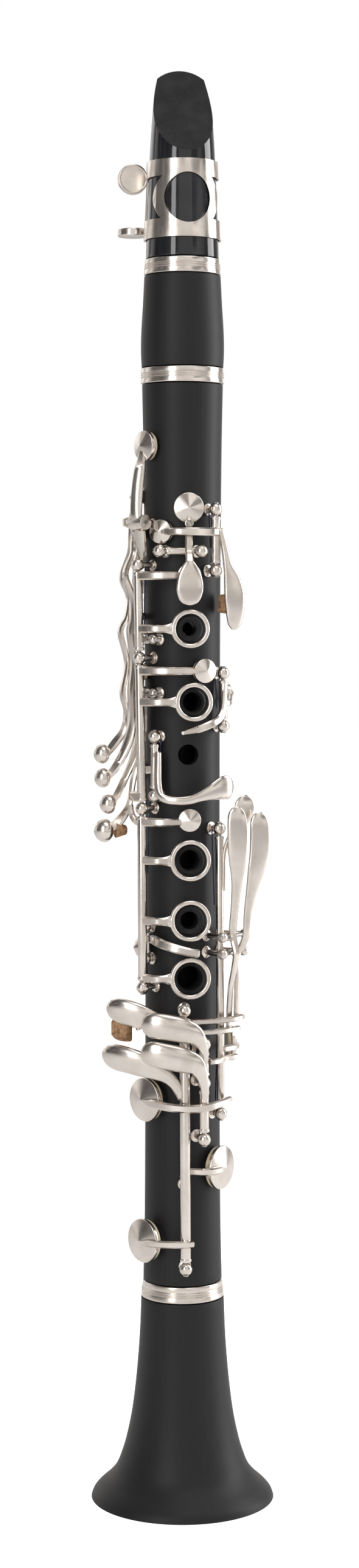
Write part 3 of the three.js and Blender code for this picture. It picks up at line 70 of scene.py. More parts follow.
# Measures of the tube and its keywork, in millimetres
tube = {
    "bottom": 74.8,
    "length": 306.7,
    "radius": 12.9,
    "bore": 6.65,
    "tenon": 9.3,
    "socket": 10.6,
    "keyHeight": 7.3,
    "seatRise": 0.45,
    "gap": 0.3,
    "padThickness": 1.1,
    "outline": [[0, 1.046], [0.05, 1.02], [0.15, 1], [0.47, 0.99], [0.75, 1.008], [0.915, 1.04], [1, 1.078]],
}
fingerRing = {
    "height": 17.2,
    "small": (4.95, 6.65),
    "large": (5.4, 7.05),
    "travel": 1.4,
}
smallRing = fingerRing["small"]
largeRing = fingerRing["large"]
ringTravel = fingerRing["travel"]
padTravel = 1.9
registerCup = 5.2
throatCup = 5.15
gsharpCup = 4.1
smallCup = 4.1
lowerCup = 3.9
trillCup = 3.1
fsharpCup = 6
lowCup = 7.35


def between(table, share):  # value of a table of pairs at a share
    for (lowPlace, low), (highPlace, high) in zip(table, table[1:]):
        if share <= highPlace:
            return low + (high - low) * (share - lowPlace) / (highPlace - lowPlace)
    return table[-1][1]


def heightAlong(share):
    return tube["bottom"] + tube["length"] * share


def radiusAt(z):
    share = min(max((z - tube["bottom"]) / tube["length"], 0), 1)
    return tube["radius"] * between(tube["outline"], share)


def seatAt(share):
    return radiusAt(heightAlong(share)) + tube["seatRise"]


def polar(angle, radius, z):
    turn = math.radians(angle)
    return Vector((radius * math.sin(turn), -radius * math.cos(turn), z))


def keyPoint(place):  # angle, height over the body, place along it
    angle, height, along = place[:3]
    return polar(angle, tube["radius"] + tube["keyHeight"] * height, heightAlong(along))


def standing(angle, radius, z):  # its Z points out of the tube
    up = polar(angle, 1, 0)
    side = Vector((0, 0, 1)).cross(up).normalized()
    turn = Matrix((side, up.cross(side), up)).transposed().to_4x4()
    return Matrix.Translation(polar(angle, radius, z)) @ turn


def lyingAlong(start, end):
    up = (end - start).normalized()
    return Matrix.Translation(start) @ up.to_track_quat("Z", "Y").to_matrix().to_4x4()


def soften(outline, reach):  # rounds each corner of an outline with three points
    points = [Vector(p) for p in outline]
    result = [points[0]]
    for before, corner, after in zip(points, points[1:], points[2:]):
        back = before - corner
        ahead = after - corner
        cut = min(reach, back.length * 0.4, ahead.length * 0.4)
        if cut < 0.02 or back.angle(ahead, 0) > 2.9:
            result.append(corner)
            continue
        first = corner + back.normalized() * cut
        last = corner + ahead.normalized() * cut
        result += [first, (first + last) * 0.2 + corner * 0.6, last]
    result.append(points[-1])
    return result


def finishShell(mesh, faces, material=0, place=None, verts=()):
    for face in faces:
        face.material_index = material
        face.smooth = True
    bmesh.ops.recalc_face_normals(mesh, faces=faces)
    if place is not None:
        bmesh.ops.transform(mesh, matrix=place, verts=list(verts))


def turnShell(mesh, outline, facets=48, place=None, material=0, closed=False, round=0.25):
    points = soften([*outline, outline[0]] if closed else outline, round)
    if closed:
        points = points[:-1]
    turns = [2 * math.pi * i / facets for i in range(facets)]
    rings = []
    for radius, height in points:
        if radius < 1e-4:
            rings.append([mesh.verts.new((0, 0, height))])
        else:
            spots = [(radius * math.cos(t), radius * math.sin(t), height) for t in turns]
            rings.append([mesh.verts.new(spot) for spot in spots])
    pairs = list(zip(rings, rings[1:]))
    if closed:
        pairs.append((rings[-1], rings[0]))
    made = []
    for low, high in pairs:
        for i in range(facets):
            j = (i + 1) % facets
            corners = [low[i % len(low)], low[j % len(low)], high[j % len(high)], high[i % len(high)]]
            corners = list(dict.fromkeys(corners))
            if len(corners) > 2:
                made.append(mesh.faces.new(corners))
    finishShell(mesh, made, material, place, [v for ring in rings for v in ring])


def smoothStations(stations, steps):  # Catmull-Rom points between the stations
    rows = [Vector(row) for row in stations]
    rows = [rows[0] * 2 - rows[1], *rows, rows[-1] * 2 - rows[-2]]
    result = []
    for a, b, c, d in zip(rows, rows[1:], rows[2:], rows[3:]):
        slope = c - a
        bend = a * 2 - b * 5 + c * 4 - d
        twist = b * 3 - a - c * 3 + d
        for step in range(steps):
            t = step / steps
            result.append((b * 2 + slope * t + bend * t ** 2 + twist * t ** 3) / 2)
    result.append(rows[-2])
    return result


def smoothPairs(table, steps=5):
    rows = smoothStations([(*row, 0) for row in table], steps)
    return [(row[0], row[1]) for row in rows]


section = {
    # half a filed arm, seen on its end: flat top, chamfered edges, flat underside
    "arm": [(0.62, 1.0), (1.0, 0.25), (1.0, -0.7), (0.82, -1.0)],
    "touchSides": 24,
    "touchSquareness": 0.85,
}


def armOutline():
    right = section["arm"]
    return right + [(-across, over) for across, over in reversed(right)]


def touchOutline():
    result = []
    for corner in range(section["touchSides"]):
        turn = 2 * math.pi * (corner + 0.5) / section["touchSides"]
        across = math.copysign(abs(math.cos(turn)) ** section["touchSquareness"], math.cos(turn))
        over = math.copysign(abs(math.sin(turn)) ** section["touchSquareness"], math.sin(turn))
        result.append((across, over))
    return result


def roundEnds(rows, places, trim=0.35):  # a last small station narrows each end
    for end, beside, spot in ((0, 1, 1), (-1, -2, -1)):
        apart = max((places[beside] - places[end]).length, 0.01)
        inside = places[end].lerp(places[beside], min(0.5, trim / apart))
        tip = rows[end].copy()
        tip[3] *= 0.72
        tip[4] *= 0.62
        rows.insert(spot if end == 0 else len(rows) - 1, rows[end])
        rows[end] = tip
        places.insert(spot if end == 0 else len(places) - 1, inside)


def loftShell(mesh, stations, width, thickness, outline, steps=5, material=0):
    rows = smoothStations(stations, steps)
    places = [keyPoint(row) for row in rows]
    roundEnds(rows, places)
    last = len(places) - 1
    rings = []
    for i, (row, place) in enumerate(zip(rows, places)):
        forward = (places[min(i + 1, last)] - places[max(i - 1, 0)]).normalized()
        side = forward.cross(polar(row[0], 1, 0)).normalized()
        if len(row) > 5:  # a sixth value turns the section round its path, in degrees
            side.rotate(Matrix.Rotation(math.radians(row[5]), 3, forward))
        up = side.cross(forward).normalized() * (thickness * row[4] / 2)
        side *= width * row[3] / 2
        rings.append([mesh.verts.new(place + side * across + up * over) for across, over in outline])
    made = [mesh.faces.new(rings[0]), mesh.faces.new(rings[-1][::-1])]
    count = len(outline)
    for low, high in zip(rings, rings[1:]):
        for i in range(count):
            j = (i + 1) % count
            made.append(mesh.faces.new([low[i], high[i], high[j], low[j]]))
    finishShell(mesh, made, material)


def armShell(mesh, stations, width=3.1, thickness=1.6, material=0):
    loftShell(mesh, stations, width, thickness, armOutline(), material=material)


def touchShell(mesh, stations, width=8.8, thickness=4.2):
    loftShell(mesh, stations, width, thickness, touchOutline(), steps=7)


def rodShell(mesh, start, end, radius, facets=20, material=0, round=0.2):
    length = (end - start).length
    outline = [(0, 0), (radius, 0), (radius, length), (0, length)]
    turnShell(mesh, outline, facets, lyingAlong(start, end), material, round=round)


def slabShell(mesh, pairs, width, shift=0.0, material=0):  # a slab seen from the side: Y and Z
    near = [mesh.verts.new((shift - width / 2, y, z)) for y, z in pairs]
    far = [mesh.verts.new((shift + width / 2, y, z)) for y, z in pairs]
    made = [mesh.faces.new(near), mesh.faces.new(far[::-1])]
    for i in range(len(pairs)):
        j = (i + 1) % len(pairs)
        made.append(mesh.faces.new([near[i], far[i], far[j], near[j]]))
    finishShell(mesh, made, material)


# Shader groups shared by the finishes
def addNode(tree, kind, values=None, **settings):
    node = tree.nodes.new(kind)
    for key, value in settings.items():
        setattr(node, key, value)
    for key, value in (values or {}).items():
        node.inputs[key].default_value = value
    return node


def newGroup(name, inputs, outputs):
    tree = bpy.data.node_groups.new(name, "ShaderNodeTree")
    for label, value in inputs.items():
        socket = tree.interface.new_socket(label, in_out="INPUT", socket_type="NodeSocketFloat")
        socket.default_value = value
    for label in outputs:
        tree.interface.new_socket(label, in_out="OUTPUT", socket_type="NodeSocketFloat")
    return tree, tree.nodes.new("NodeGroupInput"), tree.nodes.new("NodeGroupOutput")


def stretchedGrain():  # fine lines up the instrument: turning marks, cane fibres
    inputs = {"Across": 900.0, "Along": 12.0, "Detail": 6.0}
    tree, start, end = newGroup("stretchedGrain", inputs, ["Mask"])
    coords = addNode(tree, "ShaderNodeTexCoord")
    scale = addNode(tree, "ShaderNodeCombineXYZ")
    tree.links.new(start.outputs["Across"], scale.inputs["X"])
    tree.links.new(start.outputs["Across"], scale.inputs["Y"])
    tree.links.new(start.outputs["Along"], scale.inputs["Z"])
    stretch = addNode(tree, "ShaderNodeVectorMath", operation="MULTIPLY")
    tree.links.new(coords.outputs["Object"], stretch.inputs[0])
    tree.links.new(scale.outputs[0], stretch.inputs[1])
    noise = addNode(tree, "ShaderNodeTexNoise", {"Scale": 1.0, "Roughness": 0.6})
    tree.links.new(stretch.outputs[0], noise.inputs["Vector"])
    tree.links.new(start.outputs["Detail"], noise.inputs["Detail"])
    tree.links.new(noise.outputs["Fac"], end.inputs["Mask"])
    return tree


def handledPatches():  # soft patches and fine speckle left by handling
    inputs = {"Patch": 60.0, "Speckle": 1400.0}
    tree, start, end = newGroup("handledPatches", inputs, ["Patches", "Speckles"])
    coords = addNode(tree, "ShaderNodeTexCoord")
    for source, target, detail in (("Patch", "Patches", 3), ("Speckle", "Speckles", 2)):
        noise = addNode(tree, "ShaderNodeTexNoise", {"Detail": detail, "Roughness": 0.55})
        tree.links.new(coords.outputs["Object"], noise.inputs["Vector"])
        tree.links.new(start.outputs[source], noise.inputs["Scale"])
        spread = addNode(tree, "ShaderNodeMapRange", {"From Min": 0.35, "From Max": 0.7})
        tree.links.new(noise.outputs["Fac"], spread.inputs["Value"])
        tree.links.new(spread.outputs[0], end.inputs[target])
    return tree


grainGroup = stretchedGrain()
patchGroup = handledPatches()


def newMaterial(name, color, roughness, metallic=0.0, **plain):
    material = bpy.data.materials.new(name)
    material.use_nodes = True
    shader = material.node_tree.nodes["Principled BSDF"]
    shader.inputs["Base Color"].default_value = (*color, 1)
    shader.inputs["Roughness"].default_value = roughness
    shader.inputs["Metallic"].default_value = metallic
    for label, value in plain.items():
        shader.inputs[label.replace("_", " ")].default_value = value
    return material, material.node_tree, shader


def useGroup(tree, group, **values):
    node = addNode(tree, "ShaderNodeGroup", node_tree=group)
    for label, value in values.items():
        node.inputs[label].default_value = value
    return node


def mixColors(tree, mask, low, high, shader):
    mix = addNode(tree, "ShaderNodeMix", data_type="RGBA")
    mix.inputs[6].default_value = (*low, 1)
    mix.inputs[7].default_value = (*high, 1)
    tree.links.new(mask, mix.inputs[0])
    tree.links.new(mix.outputs[2], shader.inputs["Base Color"])


def rangeTo(tree, mask, low, high, target):
    spread = addNode(tree, "ShaderNodeMapRange", {"To Min": low, "To Max": high})
    tree.links.new(mask, spread.inputs["Value"])
    tree.links.new(spread.outputs[0], target)


def addBump(tree, mask, shader, strength, distance):
    bump = addNode(tree, "ShaderNodeBump", {"Strength": strength, "Distance": distance})
    tree.links.new(mask, bump.inputs["Height"])
    tree.links.new(bump.outputs[0], shader.inputs["Normal"])


brushedBlack = {"dark": (0.008, 0.0077, 0.0084), "light": (0.017, 0.0163, 0.0175), "roughness": (0.42, 0.56)}


def makeBrushedBlack(spec):
    material, tree, shader = newMaterial("brushedBlack", spec["dark"], 0.5, Specular_IOR_Level=0.28)
    grain = useGroup(tree, grainGroup, Across=1500.0, Along=14.0, Detail=5.0)
    mixColors(tree, grain.outputs[0], spec["dark"], spec["light"], shader)
    rangeTo(tree, grain.outputs[0], *spec["roughness"], shader.inputs["Roughness"])
    addBump(tree, grain.outputs[0], shader, 0.3, 0.0001)
    return material


polishedBlack = {"color": (0.006, 0.0066, 0.0088), "rubbed": (0.016, 0.017, 0.021), "roughness": (0.06, 0.14)}


def makePolishedBlack(spec):
    material, tree, shader = newMaterial("polishedBlack", spec["color"], 0.1, Coat_Weight=0.3)
    marks = useGroup(tree, patchGroup, Patch=90.0, Speckle=900.0)
    mixColors(tree, marks.outputs["Patches"], spec["color"], spec["rubbed"], shader)
    rangeTo(tree, marks.outputs["Patches"], *spec["roughness"], shader.inputs["Roughness"])
    addBump(tree, marks.outputs["Speckles"], shader, 0.02, 0.0001)
    return material


sandedBlack = {"dark": (0.011, 0.011, 0.0115), "light": (0.022, 0.0215, 0.022), "roughness": (0.58, 0.74)}


def makeSandedBlack(spec):  # the beak and the table are rubbed down matt
    material, tree, shader = newMaterial("sandedBlack", spec["dark"], 0.6, Specular_IOR_Level=0.22)
    marks = useGroup(tree, patchGroup, Patch=160.0, Speckle=2400.0)
    mixColors(tree, marks.outputs["Patches"], spec["dark"], spec["light"], shader)
    rangeTo(tree, marks.outputs["Speckles"], *spec["roughness"], shader.inputs["Roughness"])
    addBump(tree, marks.outputs["Speckles"], shader, 0.1, 0.00005)
    return material


silverPlate = {"bright": (0.77, 0.715, 0.665), "warm": (0.67, 0.61, 0.555), "roughness": (0.16, 0.28)}


def makeSilverPlate(spec):
    material, tree, shader = newMaterial("silverPlate", spec["bright"], 0.15, 1.0)
    marks = useGroup(tree, patchGroup, Patch=140.0, Speckle=2200.0)
    mixColors(tree, marks.outputs["Patches"], spec["bright"], spec["warm"], shader)
    rangeTo(tree, marks.outputs["Patches"], *spec["roughness"], shader.inputs["Roughness"])
    addBump(tree, marks.outputs["Speckles"], shader, 0.04, 0.00005)
    return material


corkLook = {"light": (0.5, 0.3, 0.16), "dark": (0.16, 0.075, 0.035), "roughness": 0.85}


def makeCork(spec):
    material, tree, shader = newMaterial("corkSheet", spec["light"], spec["roughness"])
    coords = addNode(tree, "ShaderNodeTexCoord")
    cells = addNode(tree, "ShaderNodeTexVoronoi", {"Scale": 1500.0})
    tree.links.new(coords.outputs["Object"], cells.inputs["Vector"])
    marks = useGroup(tree, patchGroup, Patch=700.0, Speckle=2600.0)
    mixColors(tree, marks.outputs["Patches"], spec["light"], spec["dark"], shader)
    addBump(tree, cells.outputs["Distance"], shader, 0.5, 0.0002)
    return material


caneLook = {"light": (0.68, 0.5, 0.25), "dark": (0.42, 0.27, 0.1), "roughness": 0.55}


def makeCane(spec):
    material, tree, shader = newMaterial("caneReed", spec["light"], spec["roughness"])
    grain = useGroup(tree, grainGroup, Across=2600.0, Along=30.0, Detail=4.0)
    mixColors(tree, grain.outputs[0], spec["dark"], spec["light"], shader)
    addBump(tree, grain.outputs[0], shader, 0.3, 0.0001)
    return material


padLook = {"light": (0.72, 0.62, 0.45), "dark": (0.5, 0.4, 0.26), "roughness": 0.6}


def makePadSkin(spec):
    material, tree, shader = newMaterial("padSkin", spec["light"], spec["roughness"], Sheen_Weight=0.2)
    marks = useGroup(tree, patchGroup, Patch=420.0, Speckle=3000.0)
    mixColors(tree, marks.outputs["Patches"], spec["light"], spec["dark"], shader)
    addBump(tree, marks.outputs["Speckles"], shader, 0.15, 0.0001)
    return material


screwLook = {"light": (0.5, 0.48, 0.46), "dark": (0.22, 0.21, 0.21), "roughness": (0.2, 0.36)}
springLook = {"light": (0.06, 0.07, 0.12), "dark": (0.02, 0.02, 0.035), "roughness": (0.2, 0.4)}


def makeSteel(name, spec):
    material, tree, shader = newMaterial(name, spec["light"], 0.3, 1.0)
    marks = useGroup(tree, patchGroup, Patch=600.0, Speckle=2500.0)
    mixColors(tree, marks.outputs["Patches"], spec["light"], spec["dark"], shader)
    rangeTo(tree, marks.outputs["Patches"], *spec["roughness"], shader.inputs["Roughness"])
    return material


brushed = makeBrushedBlack(brushedBlack)
polished = makePolishedBlack(polishedBlack)
sanded = makeSandedBlack(sandedBlack)
silver = makeSilverPlate(silverPlate)
cork = makeCork(corkLook)
cane = makeCane(caneLook)
padSkin = makePadSkin(padLook)
steel = makeSteel("screwSteel", screwLook)
blued = makeSteel("bluedSteel", springLook)
finishes = [silver, padSkin, cork, steel]
padIndex = 1
corkIndex = 2
steelIndex = 3
print("materials made")


def keepMesh(mesh, name, materials, sharp=38):  # from a bmesh in millimetres to an object in metres
    bmesh.ops.scale(mesh, vec=(mm, mm, mm), verts=mesh.verts)
    data = bpy.data.meshes.new(name)
    mesh.to_mesh(data)
    mesh.free()
    data.set_sharp_from_angle(angle=math.radians(sharp))
    for material in materials:
        data.materials.append(material)
    obj = bpy.data.objects.new(name, data)
    bpy.context.scene.collection.objects.link(obj)
    return obj


def settle(obj, body, slotName, *nodes):
    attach(obj, body)
    if nodes:
        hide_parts(*nodes)
    return obj


def takeResult(obj, sharp=30):  # the evaluated mesh becomes the object's own
    graph = bpy.context.evaluated_depsgraph_get()
    data = bpy.data.meshes.new_from_object(obj.evaluated_get(graph))
    obj.modifiers.clear()
    obj.data = data
    for polygon in data.polygons:
        polygon.use_smooth = True
    data.set_sharp_from_angle(angle=math.radians(sharp))
    return obj


def cutMesh(obj, tools):
    for operation, tool in tools:
        modifier = obj.modifiers.new("cut", "BOOLEAN")
        modifier.operation = operation
        modifier.object = tool
        modifier.solver = "EXACT"
        modifier.use_self = operation == "UNION"
        modifier.material_mode = "TRANSFER"
    takeResult(obj)
    for tool in {tool.name: tool for _, tool in tools}.values():
        bpy.data.objects.remove(tool)
    return obj


# Geometry Nodes for what repeats: posts with their rods, slotted screws, needle springs
def newTree(name, sizes, materials):
    tree = bpy.data.node_groups.new(name, "GeometryNodeTree")
    tree.interface.new_socket("Geometry", in_out="INPUT", socket_type="NodeSocketGeometry")
    for label, value in sizes.items():
        kind = "NodeSocketInt" if isinstance(value, int) else "NodeSocketFloat"
        socket = tree.interface.new_socket(label, in_out="INPUT", socket_type=kind)
        socket.default_value = value
    for label in materials:
        tree.interface.new_socket(label, in_out="INPUT", socket_type="NodeSocketMaterial")
    tree.interface.new_socket("Geometry", in_out="OUTPUT", socket_type="NodeSocketGeometry")
    return tree, tree.nodes.new("NodeGroupInput"), tree.nodes.new("NodeGroupOutput")


def feed(tree, kind, links=None, values=None, **settings):  # adds a node and wires its inputs
    node = addNode(tree, kind, values, **settings)
    for target, source in (links or {}).items():
        tree.links.new(source, node.inputs[target])
    return node


def readField(tree, name, kind="FLOAT"):
    return feed(tree, "GeometryNodeInputNamedAttribute", values={"Name": name}, data_type=kind).outputs[0]


def timesNode(tree, source, factor, operation="MULTIPLY"):
    node = addNode(tree, "ShaderNodeMath", operation=operation)
    tree.links.new(source, node.inputs[0])
    if isinstance(factor, (int, float)):
        node.inputs[1].default_value = factor
    else:
        tree.links.new(factor, node.inputs[1])
    return node.outputs[0]


def vectorNode(tree, **parts):
    node = addNode(tree, "ShaderNodeCombineXYZ")
    for axis, part in parts.items():
        if isinstance(part, (int, float)):
            node.inputs[axis].default_value = part
        else:
            tree.links.new(part, node.inputs[axis])
    return node.outputs[0]


def finishTree(tree, end, parts):  # parts are pairs of geometry and material
    join = addNode(tree, "GeometryNodeJoinGeometry")
    for geometry, material in parts:
        real = feed(tree, "GeometryNodeRealizeInstances", {0: geometry})
        look = feed(tree, "GeometryNodeSetMaterial", {"Geometry": real.outputs[0], "Material": material})
        tree.links.new(look.outputs[0], join.inputs[0])
    tree.links.new(join.outputs[0], end.inputs[0])


def grow(name, tree, places, edges, fields, values):  # runs a tree on points given in millimetres
    seed = bpy.data.meshes.new(name)
    seed.from_pydata([place * mm for place in places], edges, [])
    for label, rows in fields.items():
        vector = isinstance(rows[0], Vector)
        field = seed.attributes.new(label, "FLOAT_VECTOR" if vector else "FLOAT", "POINT")
        for spot, row in zip(field.data, rows):
            if vector:
                spot.vector = row
            else:
                spot.value = row
    obj = bpy.data.objects.new(name, seed)
    bpy.context.scene.collection.objects.link(obj)
    modifier = obj.modifiers.new("grow", "NODES")
    modifier.node_group = tree
    for item in tree.interface.items_tree:
        if item.in_out == "INPUT" and item.name in values:
            modifier[item.identifier] = values[item.name]
    return takeResult(obj, 38)


def upright(tree, direction):  # turns an instance's Z to a direction
    return feed(tree, "FunctionNodeAlignRotationToVector", {"Vector": direction}, axis="Z").outputs[0]


def lifted(tree, shape, height):  # height is a number or a socket
    links = {"Geometry": shape.outputs[0], "Translation": vectorNode(tree, Z=height)}
    return feed(tree, "GeometryNodeTransform", links).outputs[0]


def buildPostTree():
    sizes = {"Stem Radius": 0.001, "Rod Radius": 0.0007, "Facets": 32}
    tree, start, end = newTree("postTree", sizes, ["Plated", "Steel"])
    size = start.outputs
    ball, reach, flange = (readField(tree, name) for name in ("ball", "reach", "flange"))
    out = readField(tree, "out", "FLOAT_VECTOR")
    isPost = feed(tree, "FunctionNodeCompare", {0: ball}, {1: 1e-6}, data_type="FLOAT").outputs[0]
    drop = feed(tree, "ShaderNodeVectorMath", {0: out, "Scale": reach}, operation="SCALE")
    drop = feed(tree, "ShaderNodeVectorMath", {0: drop.outputs[0]}, {"Scale": -1.0}, operation="SCALE")
    foot = feed(tree, "GeometryNodeSetPosition", {"Geometry": size["Geometry"], "Offset": drop.outputs[0]})

    def standOnPoints(points, shape, scale):
        turn = upright(tree, out)
        links = {"Points": points, "Selection": isPost, "Instance": shape, "Scale": scale, "Rotation": turn}
        return feed(tree, "GeometryNodeInstanceOnPoints", links).outputs[0]

    round = {"Vertices": size["Facets"]}
    plate = feed(tree, "GeometryNodeMeshCylinder", round, {"Radius": 1.0, "Depth": 0.26})
    slope = {"Radius Top": 0.55, "Radius Bottom": 0.9, "Depth": 0.2}
    shoulder = feed(tree, "GeometryNodeMeshCone", round, slope)
    base = addNode(tree, "GeometryNodeJoinGeometry")
    tree.links.new(lifted(tree, plate, 0.13), base.inputs[0])
    tree.links.new(lifted(tree, shoulder, 0.26), base.inputs[0])
    flanges = standOnPoints(foot.outputs[0], base.outputs[0], vectorNode(tree, X=flange, Y=flange, Z=flange))

    stemTop = timesNode(tree, size["Stem Radius"], 0.85)
    taper = {**round, "Radius Bottom": size["Stem Radius"], "Radius Top": stemTop}
    stem = feed(tree, "GeometryNodeMeshCone", taper, {"Depth": 1.0})
    stems = standOnPoints(foot.outputs[0], stem.outputs[0], vectorNode(tree, X=1, Y=1, Z=reach))

    sphere = feed(tree, "GeometryNodeMeshUVSphere", values={"Segments": 28, "Rings": 20, "Radius": 1.0})
    collar = feed(tree, "GeometryNodeMeshCylinder", round, {"Radius": 0.6, "Depth": 0.16})
    head = addNode(tree, "GeometryNodeJoinGeometry")
    tree.links.new(sphere.outputs[0], head.inputs[0])
    tree.links.new(lifted(tree, collar, -0.92), head.inputs[0])
    balls = standOnPoints(size["Geometry"], head.outputs[0], vectorNode(tree, X=ball, Y=ball, Z=ball))

    line = feed(tree, "GeometryNodeMeshToCurve", {"Mesh": size["Geometry"]})
    wire = feed(tree, "GeometryNodeCurvePrimitiveCircle", {"Radius": size["Rod Radius"]}, {"Resolution": 20})
    path = {"Curve": line.outputs[0], "Profile Curve": wire.outputs[0]}
    rod = feed(tree, "GeometryNodeCurveToMesh", path, {"Fill Caps": True})
    plated = [(shape, size["Plated"]) for shape in (flanges, stems, balls)]
    finishTree(tree, end, [*plated, (rod.outputs[0], size["Steel"])])
    return tree


def buildScrewTree():
    sizes = {"Head Radius": 0.001, "Head Height": 0.0005, "Slot Width": 0.0003, "Slot Depth": 0.0003}
    tree, start, end = newTree("screwTree", {**sizes, "Seed": 4}, ["Steel"])
    size = start.outputs
    top = timesNode(tree, size["Head Radius"], 0.84)
    links = {"Radius Bottom": size["Head Radius"], "Radius Top": top, "Depth": size["Head Height"]}
    head = feed(tree, "GeometryNodeMeshCone", links, {"Vertices": 28})
    wide = timesNode(tree, size["Head Radius"], 3.0)
    deep = timesNode(tree, size["Slot Depth"], 2.0)
    span = vectorNode(tree, X=wide, Y=size["Slot Width"], Z=deep)
    cutter = feed(tree, "GeometryNodeMeshCube", {"Size": span})
    links = {"Mesh 1": head.outputs[0], "Mesh 2": lifted(tree, cutter, size["Head Height"])}
    slotted = feed(tree, "GeometryNodeMeshBoolean", links, operation="DIFFERENCE")
    spin = feed(tree, "FunctionNodeRandomValue", {"Seed": size["Seed"]}, {3: math.pi}, data_type="FLOAT")
    aim = upright(tree, readField(tree, "way", "FLOAT_VECTOR"))
    links = {"Points": size["Geometry"], "Instance": slotted.outputs[0], "Rotation": aim}
    screws = feed(tree, "GeometryNodeInstanceOnPoints", links)
    turned = feed(tree, "GeometryNodeRotateInstances", {"Instances": screws.outputs[0]})
    tree.links.new(vectorNode(tree, Z=spin.outputs[1]), turned.inputs["Rotation"])
    finishTree(tree, end, [(turned.outputs[0], size["Steel"])])
    return tree


def buildSpringTree():
    tree, start, end = newTree("springTree", {"Wire Radius": 0.0002}, ["Blued"])
    size = start.outputs
    line = feed(tree, "GeometryNodeMeshToCurve", {"Mesh": size["Geometry"]})
    wire = feed(tree, "GeometryNodeCurvePrimitiveCircle", {"Radius": size["Wire Radius"]}, {"Resolution": 8})
    path = {"Curve": line.outputs[0], "Profile Curve": wire.outputs[0]}
    swept = feed(tree, "GeometryNodeCurveToMesh", path, {"Fill Caps": True})
    finishTree(tree, end, [(swept.outputs[0], size["Blued"])])
    return tree


postTree = buildPostTree()
screwTree = buildScrewTree()
springTree = buildSpringTree()
print("node trees made")


# The hinges of the keys, each by its two ends
hinges = {
    "leftUpper": ([-57.9, 1, 0.798], [-54.2, 0.9, 0.5285]),
    "leftLower": ([-54.2, 0.9, 0.5285], [-53, 0.89, 0.331]),
    "csharp": ([-43.5, 0.52, 0.608], [-43.5, 0.52, 0.5425]),
    "throatA": ([-34.1, 0.72, 0.813], [11.5, 0.72, 0.813]),
    "throatGsharp": ([31, 0.63, 0.8595], [31, 0.63, 0.7915]),
    "upperSliver": ([51, 0.42, 0.678], [51, 0.42, 0.619]),
    "register": ([-46.5, 0.98, 0.845], [-68, 0.98, 0.845]),
    "upperTrill": ([-45, 0.49, 0.7157], [-95, 0.49, 0.7157]),
    "lowerTrill": ([-45, 0.49, 0.656], [-95, 0.49, 0.656]),
    "thumbRing": ([-141, 0.42, 0.76], [-141, 0.42, 0.695]),
    "lowerSliver": ([-61, 0.36, 0.397], [-61, 0.36, 0.361]),
    "rightStack": ([38.5, 0.56, 0.506], [41.2, 0.56, 0.19]),
    "rightTouch": ([11.6, 1.09, 0.271], [11.6, 1.09, 0.1665]),
    "centre": ([-7, 0.82, 0.3075], [-5.6, 0.82, 0.0235]),
    "inner": ([-6.8, 0.37, 0.3075], [-6.8, 0.37, 0.1135]),
    "leftF": ([66, 1.25, 0.3875], [29, 1.25, 0.3875]),
    "leftE": ([61.8, 1.25, 0.369], [29, 1.25, 0.369]),
}


def hingeEnds(name):
    start, end = hinges[name]
    return keyPoint(start), keyPoint(end)


def onHinge(name, share):
    start, end = hingeEnds(name)
    return start.lerp(end, share)


def outOf(place):
    return Vector((place.x, place.y, 0)).normalized()


def shareAlong(name, along):
    start, end = hingeEnds(name)
    return (heightAlong(along) - start.z) / (end.z - start.z)


def keyTube(mesh, name, low=0.0, high=1.0, radius=1.55, ball=2.2):
    start, end = onHinge(name, low), onHinge(name, high)
    along = (end - start).normalized()
    start += along * (ball + 0.3)
    end -= along * (ball + 0.3)
    rodShell(mesh, start, end, radius, 28)
    for place, way in ((start, along), (end, -along)):  # turned collars at both ends
        rodShell(mesh, place + way * 0.15, place + way * 1.15, radius + 0.22, 28)


cupShape = {"rim": 1.3, "edge": 0.12, "height": 2.9, "facets": 72}


def cupShell(mesh, angle, along, radius, lift=0.0):  # a thin rim under a sharp low cone
    base = seatAt(along) + tube["gap"] * 2 + lift + tube["padThickness"]
    rim, edge = cupShape["rim"], cupShape["edge"]
    outline = [(0, 0.02), (radius - 0.2, 0.02), (radius, 0.16), (radius, rim - 0.1)]
    slope = (cupShape["height"] - rim - 0.08) / (radius - edge)
    outline += [(radius - edge, rim + 0.08), (0.2, cupShape["height"] - 0.2 * slope), (0, cupShape["height"])]
    turnShell(mesh, outline, cupShape["facets"], standing(angle, base, heightAlong(along)), round=0.12)


def padShell(mesh, angle, along, radius, lift=0.0, material=padIndex):
    base = seatAt(along) + tube["gap"] + lift
    rim = radius - 0.35
    outline = [(0, 0.12), (rim * 0.45, 0.12), (rim * 0.55, 0.0), (rim - 0.5, 0.0), (rim, 0.3), (rim, 1.35)]
    outline.append((0, 1.35))
    turnShell(mesh, outline, 48, standing(angle, base, heightAlong(along)), material)


def smallCupShell(mesh, angle, along, radius, lift=0.0):
    cupShell(mesh, angle, along, radius, lift)
    padShell(mesh, angle, along, radius, lift)


def fingerRingShell(mesh, angle, along, sizes):
    inner, outer = sizes
    half = 0.75
    outline = [(inner, -half), (outer - 0.4, -half), (outer, -0.3), (outer, 0.3), (outer - 0.4, half)]
    outline += [(inner + 0.5, half), (inner, half * 0.4)]
    place = standing(angle, fingerRing["height"], heightAlong(along))
    turnShell(mesh, outline, 72, place, closed=True, round=0.25)


